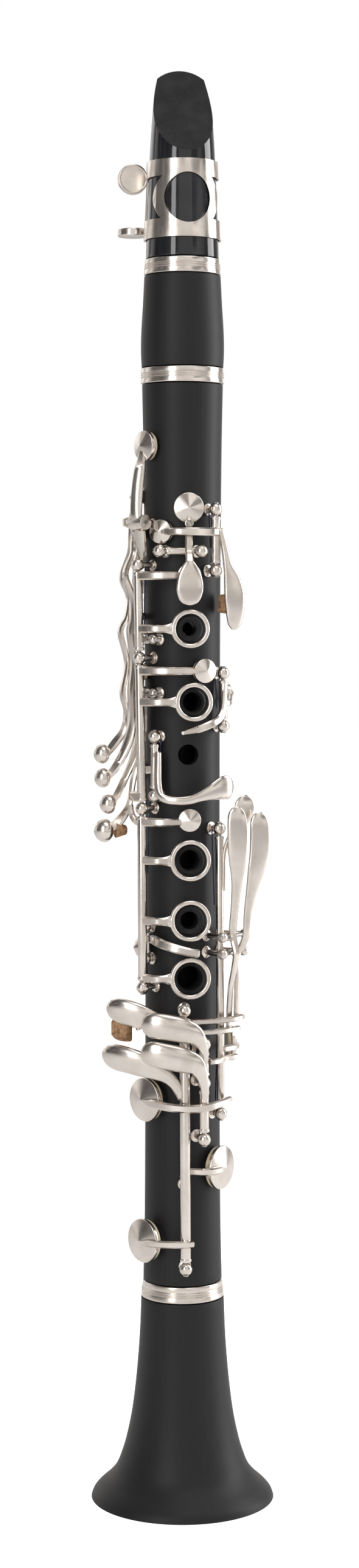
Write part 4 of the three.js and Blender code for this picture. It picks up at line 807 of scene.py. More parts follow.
def ringArm(along, ringAngle, outer, hingeAngle, hingeHeight):
    ringHeight = fingerRing["height"]
    rim = ringAngle - math.degrees(math.atan((outer - 0.75) / ringHeight))

    def level(angle):
        return (ringHeight / math.cos(math.radians(angle - ringAngle)) - tube["radius"]) / tube["keyHeight"]

    middle = (hingeAngle + rim) / 2
    return [
        [hingeAngle - 4, hingeHeight + 0.02, along, 0.95, 1],
        [hingeAngle + 4, hingeHeight + 0.04, along, 0.95, 1],
        [middle, (hingeHeight + level(rim - 8)) / 2 + 0.1, along, 0.85, 0.9],
        [rim - 8, level(rim - 8), along, 0.85, 0.85], [rim, level(rim), along, 1.35, 0.8],
    ]


def cupArm(along, cupAngle, hingeAngle, hingeHeight, cupHeight):
    span = cupAngle - hingeAngle
    return [
        [hingeAngle - 4, hingeHeight + 0.03, along, 1, 1],
        [hingeAngle + span * 0.2, hingeHeight + 0.07, along, 0.95, 1],
        [hingeAngle + span * 0.55, hingeHeight * 0.55 + cupHeight * 0.45 + 0.12, along, 0.85, 0.95],
        [hingeAngle + span * 0.82, cupHeight + 0.1, along, 0.75, 0.9],
        [cupAngle, cupHeight, along, 0.25, 0.5],
    ]


def buildKey(name, arms=(), touches=(), tubes=(), cups=(), smallCups=(), rings=(), extra=None):  # one key
    mesh = bmesh.new()
    for stretch in tubes:
        keyTube(mesh, **stretch)
    for arm in arms:
        armShell(mesh, arm)
    for stations, width in touches:
        touchShell(mesh, stations, width)
    for cup in cups:
        cupShell(mesh, *cup)
    for cup in smallCups:
        smallCupShell(mesh, *cup)
    for ring in rings:
        fingerRingShell(mesh, *ring)
    if extra:
        extra(mesh)
    obj = keepMesh(mesh, name + "_dress", finishes)
    return settle(obj, name, "nickel_silver", name)


def buildPad(node, body, place):
    mesh = bmesh.new()
    padShell(mesh, *place, material=0)
    obj = keepMesh(mesh, node + "_dress", [padSkin])
    return settle(obj, body, "pad_skin", node)


# The tube of the instrument
bellOutline = {
    "length": 68.7,
    "rim": 31.3,
    "throat": 14.2,
    "wall": 2.4,
    "shares": [
        [0, 1], [0.03, 0.95], [0.062, 0.83], [0.1, 0.66], [0.15, 0.5], [0.22, 0.385], [0.3, 0.29],
        [0.42, 0.19], [0.56, 0.115], [0.72, 0.055], [0.86, 0.02], [1, 0],
    ],
}


def buildBell(spec):
    flare = spec["rim"] - spec["throat"]
    socketBottom = tube["bottom"] - 13.7
    outer = [(spec["throat"] + flare * s, spec["length"] * p) for p, s in smoothPairs(spec["shares"])]
    span = spec["rim"] - spec["wall"] - tube["bore"]
    inner = [(tube["bore"] + 0.3 + span * s, spec["length"] * p) for p, s in smoothPairs(spec["shares"])]
    inner = [p for p in inner if p[1] < socketBottom - 4.8]
    outline = inner[::-1] + outer + [(tube["socket"], spec["length"]), (tube["socket"], socketBottom)]
    outline.append((tube["bore"] + 0.3, socketBottom))
    mesh = bmesh.new()
    turnShell(mesh, outline, 128, closed=True, round=0.3)
    settle(keepMesh(mesh, "bell_dress", [brushed]), "bell", "black_body", "bell")


platedRing = {
    "facets": 96,
    "band": 0.28,  # how far the flat bands stand out
    "profile": [
        (0.0, 0.0), (0.03, 0.8), (0.06, 1.0), (0.33, 1.0), (0.35, 0.2), (0.38, 0.3), (0.41, 1.25),
        (0.455, 1.25), (0.48, 0.2), (0.52, 0.2), (0.545, 1.25), (0.59, 1.25), (0.62, 0.3), (0.65, 0.2),
        (0.67, 1.0), (0.94, 1.0), (0.97, 0.8), (1.0, 0.0),
    ],
}


def buildPlatedRing(name, body, bottom, length, low, high, inner):  # flat band, two beads, flat band
    outline = [(inner, bottom)]
    for share, rise in platedRing["profile"]:
        outline.append((low + (high - low) * share + platedRing["band"] * rise, bottom + length * share))
    outline.append((inner, bottom + length))
    mesh = bmesh.new()
    turnShell(mesh, outline, platedRing["facets"], closed=True, round=0.06)
    settle(keepMesh(mesh, name + "_dress", [silver], 50), body, "nickel_silver", name)


holes = {
    "ringHoles": [
        [0, 0.7274, 0.475], [4, 0.6466, 0.65], [0.4, 0.472, 0.62], [0, 0.4055, 0.55], [0, 0.342, 0.74],
    ],
    "padHoles": [
        [-61, 0.93, 0.3, registerCup], [-1.5, 0.861, 0.5, throatCup], [-36, 0.8347, 0.55, gsharpCup],
        [-1.5, 0.786, 0.55, smallCup], [17, 0.681, 0.55, smallCup], [-1, 0.5165, 0.55, lowerCup],
        [90, 0.655, 0.55, trillCup], [-100, 0.568, 0.6, trillCup], [-80, 0.372, 0.6, trillCup],
        [-103, 0.875, 0.6, trillCup], [-84, 0.836, 0.6, trillCup], [-106, 0.681, 0.6, trillCup],
        [-76, 0.679, 0.6, trillCup], [90, 0.261, 0.62, fsharpCup], [-56, 0.206, 0.62, lowCup],
        [47, 0.129, 0.62, lowCup], [-57, 0.05, 0.62, lowCup],
    ],
    "plain": (0, 0.588, 3.5),
    "thumb": (180, 0.717, 2.3, 4.15),
}


def joinedTool(name, shells):
    mesh = bmesh.new()
    for outline, place in shells:
        turnShell(mesh, outline, 40, place, round=0.2)
    return keepMesh(mesh, name, [brushed])


def buildBody():
    bottom, top = tube["bottom"], tube["bottom"] + tube["length"]
    outer = [(tube["radius"] * s, heightAlong(p)) for p, s in smoothPairs(tube["outline"])]
    outline = [(tube["bore"], bottom - 13.4), (9.3, bottom - 13.4), (9.3, bottom), *outer]
    outline += [(9.3, top), (9.3, top + 12.6), (tube["bore"], top + 12.6)]
    mesh = bmesh.new()
    turnShell(mesh, outline, 96, closed=True, round=0.25)
    obj = keepMesh(mesh, "body_dress", [brushed])
    rims, cutters = [], []
    reach = 26
    for i, (angle, along, share) in enumerate(holes["ringHoles"]):
        inner = (smallRing if i < 2 else largeRing)[0]
        z = heightAlong(along)
        height = radiusAt(z) + 3.1 - 8
        edge = inner - 0.45
        outline = [(0, 0), (edge, 0), (edge, height - 0.5), (edge - 0.5, height), (0, height)]
        rims.append((outline, standing(angle, 8, z)))
        hole = inner * share
        rim = height + 8
        mouth = edge - 0.45
        cutter = [(0, 0), (hole, 0), (hole, rim - 1.0), (mouth, rim + 0.15), (mouth, reach), (0, reach)]
        cutters.append((cutter, standing(angle, 0, z)))
    for angle, along, share, cupRadius in holes["padHoles"]:
        hole = (cupRadius - 1.1) * share
        z = heightAlong(along)
        height = seatAt(along) - 8
        wall = hole + 1.1
        rims.append(([(0, 0), (wall, 0), (wall, height), (0, height)], standing(angle, 8, z)))
        cutters.append(([(0, 0), (hole, 0), (hole, reach), (0, reach)], standing(angle, 0, z)))
    angle, along, hole = holes["plain"]
    straight = [(0, 0), (hole, 0), (hole, reach), (0, reach)]
    cutters.append((straight, standing(angle, 0, heightAlong(along))))
    angle, along, hole, seat = holes["thumb"]
    shelf = tube["bore"] + 0.7
    stepped = [(0, 0), (hole, 0), (hole, shelf), (seat, shelf), (seat, reach), (0, reach)]
    cutters.append((stepped, standing(angle, 0, heightAlong(along))))
    cutMesh(obj, [("UNION", joinedTool("rims", rims)), ("DIFFERENCE", joinedTool("cutters", cutters))])
    settle(obj, "body", "black_body", "body_tube")


barrelShape = {"bottom": 381.8, "length": 42.8, "radius": 14.2, "ring": 5.4, "shares": [
    [0, 0.99], [0.18, 1.007], [0.4, 0.998], [0.7, 0.958], [1, 0.925],
]}


def buildBarrel(spec):
    low = spec["bottom"] + spec["ring"] + 0.3
    high = spec["bottom"] + spec["length"] - spec["ring"] - 0.3
    top = spec["bottom"] + spec["length"]
    socket = tube["socket"]
    sleeve = socket + 1.2
    outer = [(spec["radius"] * s, low + (high - low) * p) for p, s in smoothPairs(spec["shares"])]
    outline = [(socket, spec["bottom"]), (sleeve, spec["bottom"]), (sleeve, low), *outer]
    outline += [(sleeve, high), (sleeve, top), (socket, top), (socket, top - 12.5)]
    outline += [(tube["bore"], top - 12.5), (tube["bore"], spec["bottom"] + 12.9)]
    outline.append((socket, spec["bottom"] + 12.9))
    mesh = bmesh.new()
    turnShell(mesh, outline, 96, closed=True, round=0.3)
    settle(keepMesh(mesh, "barrel_dress", [brushed]), "barrel", "black_body", "barrel")
    inside = sleeve + 0.3
    rings = (("bottom", spec["bottom"], (0.985, 0.985)), ("top", top - spec["ring"], (0.915, 0.885)))
    for name, place, ends in rings:
        low, high = (spec["radius"] * share for share in ends)
        buildPlatedRing("barrel_" + name + "_ring", "barrel", place, spec["ring"], low, high, inside)


def buildTenonCork(node, body, bottom, length):
    low, high = bottom + 2.4, bottom + length - 2.4
    outline = [(9.6, low), (10.1, low), (10.3, low + 0.5), (10.3, high - 0.5), (10.1, high), (9.6, high)]
    mesh = bmesh.new()
    turnShell(mesh, outline, 96, closed=True, round=0.1)
    settle(keepMesh(mesh, node + "_dress", [cork]), body, "cork", node)


buildBell(bellOutline)
buildPlatedRing("bell_ring", "bell", 69.0, 5.5, 14.0, 13.3, tube["socket"])
buildBody()
buildBarrel(barrelShape)
buildTenonCork("lower_tenon_cork", "body", 61.4, 13.4)
buildTenonCork("upper_tenon_cork", "body", 381.5, 12.6)
buildTenonCork("mouthpiece_tenon_cork", "mouthpiece", 412.7, 12.2)
print("tube built")

# Mouthpiece, reed and ligature
mouthpiece = {
    "bottom": 424.9,
    "length": 65.7,
    "radius": 12.6,
    "outline": [[0, 1], [0.1, 0.985], [0.55, 0.89], [0.8, 0.8], [0.94, 0.735], [1, 0.7]],
    "table": (9.9, 6.9),  # behind the middle, at its foot and at the tip
    "tipGap": 0.9,
    "tip": 0.9,
    "tipArc": 12.5,
    "hollow": 2.6,
    "beakStart": 0.54,
    "window": (0.38, 0.955),
}


def slabTool(name, pairs, width, material=polished):
    mesh = bmesh.new()
    slabShell(mesh, pairs, width)
    return keepMesh(mesh, name, [material])


def tipArcTool(name, radius, top, material):  # rounds the tip, seen from the front
    arc = []
    for step in range(-12, 13):
        across = radius * math.sin(math.radians(step * 6.5))
        arc.append((across, top - radius + math.sqrt(radius * radius - across * across)))
    mesh = bmesh.new()
    slabShell(mesh, [*arc, (arc[-1][0], top + 4), (arc[0][0], top + 4)], 60)
    bmesh.ops.transform(mesh, matrix=Matrix.Rotation(math.pi / 2, 4, "Z"), verts=mesh.verts)
    return keepMesh(mesh, name, [material])


def buildMouthpiece(spec):
    def climb(share):
        return spec["bottom"] + spec["length"] * share

    def tableAt(share):
        foot, tip = spec["table"]
        return foot + (tip - foot) * (share - 0.06) / 0.94

    top, low = climb(1), spec["bottom"] - 12.2
    outer = [(spec["radius"] * s, climb(p)) for p, s in smoothPairs(spec["outline"])]
    outline = [(0, low), (tube["tenon"], low), (tube["tenon"], spec["bottom"]), *outer, (0, top)]
    mesh = bmesh.new()
    turnShell(mesh, outline, 96, round=0.3)
    obj = keepMesh(mesh, "mouthpiece_dress", [polished])
    wide, far = 40, 26
    tipBack = tableAt(1) - spec["tipGap"]
    lip = tipBack - spec["tip"]
    front = spec["radius"] * 0.89 + 0.3
    start = climb(spec["beakStart"])
    curve = []
    steps = 10
    for i in range(steps + 1):  # the beak is slightly hollow
        t = i / steps
        hollow = spec["hollow"] * math.sin(math.pi * t)
        curve.append((-front + (lip + front) * t + hollow, start + (top + 0.3 - start) * t))
    beak = slabTool("beak", [*curve, (lip, top + 2), (-far, top + 2), (-far, start)], wide, sanded)
    foot, mid = climb(0.06), climb(spec["window"][0])
    midBack = tableAt(spec["window"][0])
    flat = [(tableAt(0.06), foot), (far, foot), (far, top + 2), (tipBack, top + 2), (midBack, mid)]
    tableCut = slabTool("table", flat, wide, sanded)
    roof = climb(spec["window"][1])
    hollow = [(-5.3, mid), (far, mid), (far, roof), (tipBack - 0.7, roof), (1.3, climb(0.7))]
    chamber = slabTool("chamber", hollow, 9.5, sanded)
    mesh = bmesh.new()
    inside = tube["bore"]
    turnShell(mesh, [(0, low - 2), (inside, low - 2), (inside, climb(0.5)), (0, climb(0.5))], 48, round=0.01)
    bore = keepMesh(mesh, "bore", [polished])
    arc = tipArcTool("tip_arc", spec["tipArc"], top, polished)
    cutMesh(obj, [("DIFFERENCE", tool) for tool in (beak, tableCut, chamber, bore, arc)])
    settle(obj, "mouthpiece", "mouthpiece_gloss", "mouthpiece")
    back = tableAt(0.06) + 0.05
    tip = tableAt(1) + 0.05
    blank = [(back, foot + 0.3), (back + 2.9, foot + 0.3), (tableAt(0.5) + 2.95, climb(0.5))]
    blank += [(tip + 0.3, top - 0.3), (tip, top - 0.3)]
    reed = slabTool("reed_dress", blank, 12.2, cane)
    mesh = bmesh.new()
    keep = spec["radius"] * 0.97
    around = [(0, spec["bottom"]), (keep, spec["bottom"]), (keep * 0.84, top), (0, top)]
    turnShell(mesh, around, 96, round=0.01)
    reedArc = tipArcTool("reed_arc", spec["tipArc"], top - 0.4, cane)
    cutMesh(reed, [("INTERSECT", keepMesh(mesh, "keep", [cane])), ("DIFFERENCE", reedArc)])
    settle(reed, "mouthpiece", "cane", "reed")


buildMouthpiece(mouthpiece)

ligature = {
    "shares": (0.095, 0.503),
    "wall": 0.6,
    "relief": 0.35,
    "strips": (0.24, 0.785),
    "oval": (7.9, 8.6),
    "frame": 3.2,
    "lug": (2.1, 4.6, 3.2),  # radius, length, space between
    "lugDepth": 15.0,
    "screws": (0.165, 0.865),
    "head": (5.3, 2.7, 3.6),  # radius, thickness, neck
}


def ellipseTool(name, halfWidth, halfHeight, middle, depth):
    mesh = bmesh.new()
    turnShell(mesh, [(0, 0), (1, 0), (1, depth), (0, depth)], 72, round=0.001)
    spin = Matrix.Rotation(math.pi / 2, 4, "X")
    grow = Matrix.Diagonal((halfWidth, 1, halfHeight, 1))
    bmesh.ops.transform(mesh, matrix=Matrix.Translation((0, 0, middle)) @ grow @ spin, verts=mesh.verts)
    return keepMesh(mesh, name, [silver])


def buildLigature(spec, beakSpec):
    low, high = (beakSpec["bottom"] + beakSpec["length"] * share for share in spec["shares"])

    def insideAt(z):
        share = (z - beakSpec["bottom"]) / beakSpec["length"]
        return beakSpec["radius"] * between(beakSpec["outline"], share) + spec["relief"]

    wall = spec["wall"]
    inLow, inHigh = insideAt(low), insideAt(high)
    outline = [(inLow, low), (inLow + wall, low), (inHigh + wall, high), (inHigh, high)]
    mesh = bmesh.new()
    turnShell(mesh, outline, 96, closed=True, round=0.12)
    band = keepMesh(mesh, "ligature_dress", [silver])
    middle, deep = (low + high) / 2, 25.2
    lowStrip, highStrip = (low + (high - low) * share for share in spec["strips"])
    opening = [(-21.4, lowStrip), (3.8, lowStrip), (3.8, highStrip), (-21.4, highStrip)]
    window = slabTool("window", opening, 60, silver)
    halfWidth, halfHeight = spec["oval"]
    grown = ellipseTool("grown", halfWidth + spec["frame"], halfHeight + spec["frame"], middle, 26)
    cutMesh(window, [("DIFFERENCE", grown)])
    oval = ellipseTool("oval", halfWidth, halfHeight, middle, 26)
    radius, length, space = spec["lug"]
    slot = slabTool("slot", [(0, low - 2), (deep, low - 2), (deep, high + 2), (0, high + 2)], space, silver)
    cutMesh(band, [("DIFFERENCE", window), ("DIFFERENCE", oval), ("DIFFERENCE", slot)])
    lugY = spec["lugDepth"]
    mesh = bmesh.new()
    mesh.from_mesh(band.data)
    bmesh.ops.scale(mesh, vec=(1 / mm, 1 / mm, 1 / mm), verts=mesh.verts)
    for share in spec["screws"]:
        z = low + (high - low) * share
        for side in (-1, 1):
            near = Vector((side * space / 2, lugY, z))
            rodShell(mesh, near, near + Vector((side * length, 0, 0)), radius, 32)
            inner = lugY - radius * 2
            foot = [(inner, z - 1.6), (lugY, z - 1.9), (lugY, z + 1.9), (inner, z + 1.6)]
            slabShell(mesh, foot, length, side * (space + length) / 2)
    bpy.data.objects.remove(band)
    band = keepMesh(mesh, "ligature_dress", [silver])
    settle(band, "ligature", "nickel_silver", "ligature_band")
    reach = space / 2 + length
    for name, share, face in zip(("lower", "upper"), spec["screws"], ((0, 0, 1), (0, 1, 0))):
        buildLigatureScrew(name, Vector((-reach, lugY, low + (high - low) * share)), Vector(face), spec)


def buildLigatureScrew(name, lugEnd, face, spec):  # a plain flat disc on a necked shank
    headRadius, thick, neck = spec["head"]
    half = thick / 2
    across = Vector((1, 0, 0))
    mesh = bmesh.new()
    rodShell(mesh, lugEnd - lugEnd.x * 2.12 * across, lugEnd - (neck + 1) * across, 1.1, 24)
    rodShell(mesh, lugEnd - 0.4 * across, lugEnd - 1.3 * across, 1.9, 28)
    rodShell(mesh, lugEnd - 1.3 * across, lugEnd - 2.2 * across, 1.45, 28)
    centre = lugEnd - (neck + headRadius) * across
    flat = half - 0.12
    disc = [(0, -flat), (headRadius - 0.9, -flat), (headRadius - 0.6, -half)]
    disc += [(headRadius - 0.15, -half + 0.1), (headRadius, -half + 0.4), (headRadius, half - 0.4)]
    disc += [(headRadius - 0.15, half - 0.1), (headRadius - 0.6, half), (headRadius - 0.9, flat), (0, flat)]
    turnShell(mesh, disc, 64, lyingAlong(centre, centre + face), round=0.12)
    screw = keepMesh(mesh, "ligature_screw_" + name + "_dress", [silver])
    settle(screw, "ligature_screw_" + name, "nickel_silver", "ligature_screw_" + name)


buildLigature(ligature, mouthpiece)
print("mouthpiece and ligature built")

# Upper joint keys
registerKey = {
    "upperArm": [
        [-56, 1.15, 0.845, 1.25, 1, 10], [-56, 1.2, 0.856, 1.3, 0.9, 24], [-57, 1.06, 0.88, 1.3, 0.9, 32],
        [-58.5, 0.86, 0.903, 1.2, 0.9, 32], [-60, 0.7, 0.917, 0.85, 0.85, 28], [-61, 0.58, 0.928, 0.4, 0.6, 20],
        [-61, 0.54, 0.931, 0.15, 0.4, 20],
    ],
    "lowerArm": [
        [-56, 0.98, 0.838, 1.5, 1], [-59, 0.8, 0.824, 1.7, 1], [-64, 0.6, 0.811, 1.7, 1],
        [-74, 0.5, 0.801, 1.5, 1], [-86, 0.48, 0.795, 1.2, 1], [-98, 0.48, 0.79, 1.2, 1],
        [-109, 0.51, 0.785, 2, 1.05], [-120, 0.54, 0.78, 2.5, 1.1], [-130, 0.53, 0.776, 2.2, 1],
        [-138, 0.5, 0.773, 1, 0.8],
    ],
    "block": [
        [-67, 1.02, 0.8455, 0.5, 2.4], [-69, 1.02, 0.8455, 1.1, 3], [-72.5, 1.02, 0.8455, 1.25, 3],
        [-74, 1.02, 0.8455, 0.9, 2.6],
    ],
    "cup": (-61, 0.93, registerCup),
}


def registerBarrel(mesh):
    start, end = onHinge("register", 0.035), onHinge("register", 0.965)
    rodShell(mesh, start, end, 2.6, 44, round=0.35)


buildKey("register_key", [registerKey[part] for part in ("upperArm", "lowerArm", "block")],
         cups=[registerKey["cup"]], extra=registerBarrel)
buildPad("register_pad", "register_key", registerKey["cup"])

throatA = {
    "arm": [
        [-1.5, 0.42, 0.862, 0.35, 0.5], [-1.8, 0.58, 0.848, 0.6, 0.9], [-2, 0.62, 0.834, 0.8, 1],
        [-2, 0.67, 0.822, 0.85, 1], [-2, 0.72, 0.813, 0.85, 1.1], [-2.1, 0.94, 0.806, 0.85, 1.1],
        [-2.3, 1.13, 0.799, 0.85, 1],
    ],
    "touch": [
        [-2.3, 1.13, 0.802, 0.3, 0.36], [-2.4, 1.17, 0.795, 0.62, 0.42],
        [-2.5, 1.19, 0.784, 0.93, 0.46], [-2.5, 1.19, 0.772, 1.03, 0.46],
        [-2.5, 1.17, 0.762, 0.88, 0.42], [-2.5, 1.15, 0.7565, 0.64, 0.36], [-2.5, 1.12, 0.7535, 0.2, 0.22],
    ],
    "cup": (-1.5, 0.861, throatCup),
}


def adjustingBoss(mesh):
    place = standing(-2, tube["radius"] + tube["keyHeight"] * 0.62, heightAlong(0.8435))
    turnShell(mesh, [(0, 0), (1.5, 0), (1.5, 1.2), (1.2, 1.35), (1.1, 1.1), (0, 1.1)], 32, place, round=0.1)


buildKey("throat_a_key", [throatA["arm"]], [(throatA["touch"], 8.8)], [dict(name="throatA", radius=1.35)],
         [throatA["cup"]], extra=adjustingBoss)
buildPad("throat_a_pad", "throat_a_key", throatA["cup"])

throatGsharp = {
    "arm": [
        [33, 0.75, 0.8345, 0.95, 1], [26, 0.92, 0.8345, 0.95, 1], [14, 1.03, 0.8345, 0.9, 0.9],
        [0, 1.07, 0.8345, 0.85, 0.85], [-12, 1.02, 0.8345, 0.8, 0.85], [-22, 0.85, 0.8345, 0.75, 0.9],
        [-31, 0.62, 0.8345, 0.55, 0.9], [-36, 0.5, 0.8345, 0.3, 0.5],
    ],
    "touch": [
        [33, 0.86, 0.838, 0.26, 0.42, 0], [37, 0.93, 0.818, 0.32, 0.48, 10], [40, 1.02, 0.798, 0.46, 0.5, 22],
        [43.5, 1.12, 0.783, 0.8, 0.52, 32], [45.5, 1.18, 0.768, 0.99, 0.54, 36],
        [47, 1.18, 0.753, 0.98, 0.52, 36], [48.5, 1.12, 0.738, 0.82, 0.46, 36], [49, 1.07, 0.7305, 0.58, 0.38, 36],
        [49, 1.04, 0.7265, 0.22, 0.26, 36],
    ],
    "cork": [[50, 0.6, 0.7445, 0.9, 1], [51, 0.62, 0.755, 1, 1], [50, 0.62, 0.7655, 0.95, 0.9]],
    "corkSize": (3.4, 5.4),
    "cup": (-36, 0.8347, gsharpCup),
}


def gsharpCork(mesh):
    width, thickness = throatGsharp["corkSize"]
    loftShell(mesh, throatGsharp["cork"], width, thickness, armOutline(), material=corkIndex)


buildKey("throat_gsharp_key", [throatGsharp["arm"]], [(throatGsharp["touch"], 7.04)],
         [dict(name="throatGsharp")], [throatGsharp["cup"]], extra=gsharpCork)
buildPad("throat_gsharp_pad", "throat_gsharp_key", throatGsharp["cup"])

upperPost = shareAlong("leftUpper", 0.695)
firstRing = {
    "link": [
        [-57, 0.92, 0.741, 0.8, 0.8], [-60, 0.62, 0.741, 0.8, 0.8], [-65, 0.38, 0.741, 0.8, 0.75],
        [-72, 0.31, 0.741, 0.8, 0.75], [-86, 0.31, 0.741, 0.8, 0.75], [-99, 0.31, 0.741, 0.8, 0.75],
    ],
    "cup": (-1.5, 0.786, smallCup, ringTravel),
    "ring": (0, 0.7274, smallRing),
}
buildKey("first_ring_key", [cupArm(0.786, -1.5, -57.6, 1, 0.62), ringArm(0.7274, 0, smallRing[1], -57, 0.98), firstRing["link"]],
         tubes=[dict(name="leftUpper", high=upperPost)], smallCups=[firstRing["cup"]], rings=[firstRing["ring"]])

secondRing = {
    "block": [[-52, 0.98, 0.542, 1.1, 1.2], [-60, 1.05, 0.542, 1.1, 1.2], [-66.5, 1.1, 0.542, 1, 1.1]],
    "cup": (17, 0.681, smallCup, ringTravel),
    "ring": (4, 0.6466, smallRing),
}
buildKey("second_ring_key", [cupArm(0.681, 17, -56, 0.96, 0.62), ringArm(0.6466, 4, smallRing[1], -55.6, 0.95), secondRing["block"]],
         tubes=[dict(name="leftUpper", low=upperPost)], smallCups=[secondRing["cup"]], rings=[secondRing["ring"]])

lowerRings = {
    "bridge": [
        [-56, 0.93, 0.5125, 0.8, 1], [-62, 1, 0.5155, 0.8, 1], [-66.5, 1.06, 0.523, 0.7, 1],
        [-67, 1.1, 0.533, 0.6, 0.9],
    ],
    "cup": (-1, 0.5165, lowerCup, ringTravel),
    "places": (0.472, 0.4055, 0.342),
}
buildKey("lower_ring_key",
         [cupArm(0.5145, -1, -54, 0.9, 0.55), lowerRings["bridge"]]
         + [ringArm(place, 0, largeRing[1], -53.6, 0.89) for place in lowerRings["places"]],
         tubes=[dict(name="leftLower")], smallCups=[lowerRings["cup"]],
         rings=[(0, place, largeRing) for place in lowerRings["places"]])

thumbRing = {
    "arm": [
        [-139, 0.5, 0.717, 0.9, 1], [-150, 0.6, 0.717, 0.9, 1], [-158, 0.66, 0.717, 1.1, 0.9],
        [-162, 0.66, 0.717, 1.3, 0.9],
    ],
    "tail": [
        [-143, 0.4, 0.741, 0.8, 0.8], [-130, 0.34, 0.741, 0.8, 0.75], [-115, 0.31, 0.741, 0.8, 0.75],
        [-105, 0.31, 0.741, 0.8, 0.75],
    ],
    "ring": (180, 0.717, (4.7, 6.35)),
}
buildKey("thumb_ring_key", [thumbRing["arm"], thumbRing["tail"]],
         tubes=[dict(name="thumbRing", radius=1.35, ball=1.75)], rings=[thumbRing["ring"]])

upperSliver = {
    "lever": [
        [50, 0.52, 0.668, 0.7, 0.9], [48, 0.56, 0.65, 0.75, 0.9], [44, 0.6, 0.637, 0.8, 0.95],
        [36, 0.66, 0.628, 0.85, 1], [22, 0.76, 0.622, 0.85, 1], [5, 0.8, 0.616, 0.75, 0.95],
        [-10, 0.78, 0.6125, 0.55, 0.85],
    ],
    "arm": [
        [52, 0.5, 0.645, 0.8, 0.9], [62, 0.55, 0.645, 0.7, 0.9], [76, 0.48, 0.65, 0.7, 0.9],
        [86, 0.42, 0.654, 0.6, 0.9], [90, 0.4, 0.655, 0.3, 0.5],
    ],
    "cup": (90, 0.655, trillCup),
}
buildKey("upper_sliver_key", [upperSliver["lever"], upperSliver["arm"]],
         tubes=[dict(name="upperSliver", radius=1.35)], smallCups=[upperSliver["cup"]])

sharpKey = {
    "link": [[-46, 0.56, 0.588, 0.55, 0.8], [-41, 0.62, 0.588, 0.6, 0.9], [-36, 0.66, 0.585, 0.6, 1]],
    "touch": [
        [-37, 0.66, 0.592, 0.28, 0.4], [-36.5, 0.7, 0.575, 0.29, 0.44], [-36, 0.73, 0.557, 0.3, 0.48],
        [-33.5, 0.77, 0.546, 0.32, 0.5], [-27, 0.81, 0.5405, 0.33, 0.5], [-15, 0.85, 0.5385, 0.33, 0.5],
        [-2, 0.88, 0.5395, 0.34, 0.5], [7, 0.93, 0.5425, 0.38, 0.5], [16, 0.98, 0.546, 0.52, 0.5],
        [25, 1.04, 0.5495, 0.76, 0.52], [33, 1.08, 0.552, 0.92, 0.5], [40, 1.1, 0.5525, 0.86, 0.46],
        [45, 1.1, 0.5525, 0.4, 0.3],
    ],
    "arm": [
        [-46, 0.44, 0.571, 0.8, 0.75], [-55, 0.26, 0.571, 0.8, 0.75], [-68, 0.2, 0.57, 0.8, 0.75],
        [-84, 0.26, 0.569, 0.7, 0.75], [-100, 0.45, 0.568, 0.4, 0.6],
    ],
    "cup": (-100, 0.568, trillCup),
}
buildKey("csharp_key", [sharpKey["link"], sharpKey["arm"]], [(sharpKey["touch"], 8.8)],
         [dict(name="csharp", radius=1.35)], smallCups=[sharpKey["cup"]])

lowerSliver = {
    "lever": [
        [-62, 0.42, 0.3835, 0.8, 0.8], [-54, 0.4, 0.3835, 0.8, 0.8], [-46, 0.46, 0.3832, 1.05, 0.8],
        [-39, 0.58, 0.382, 1.1, 0.9], [-28, 0.76, 0.3793, 1, 1], [-15, 0.87, 0.3757, 0.95, 1],
        [-2, 0.93, 0.3722, 0.9, 0.95], [8, 0.94, 0.3702, 0.88, 0.9],
    ],
    "arm": [
        [-60, 0.42, 0.373, 0.8, 0.8], [-66, 0.42, 0.373, 0.8, 0.8], [-73, 0.44, 0.3725, 0.7, 0.8],
        [-80, 0.44, 0.372, 0.3, 0.5],
    ],
    "cup": (-80, 0.372, trillCup),
}
buildKey("lower_sliver_key", [lowerSliver["lever"], lowerSliver["arm"]],
         tubes=[dict(name="lowerSliver", radius=1.35, ball=1.75)], smallCups=[lowerSliver["cup"]])

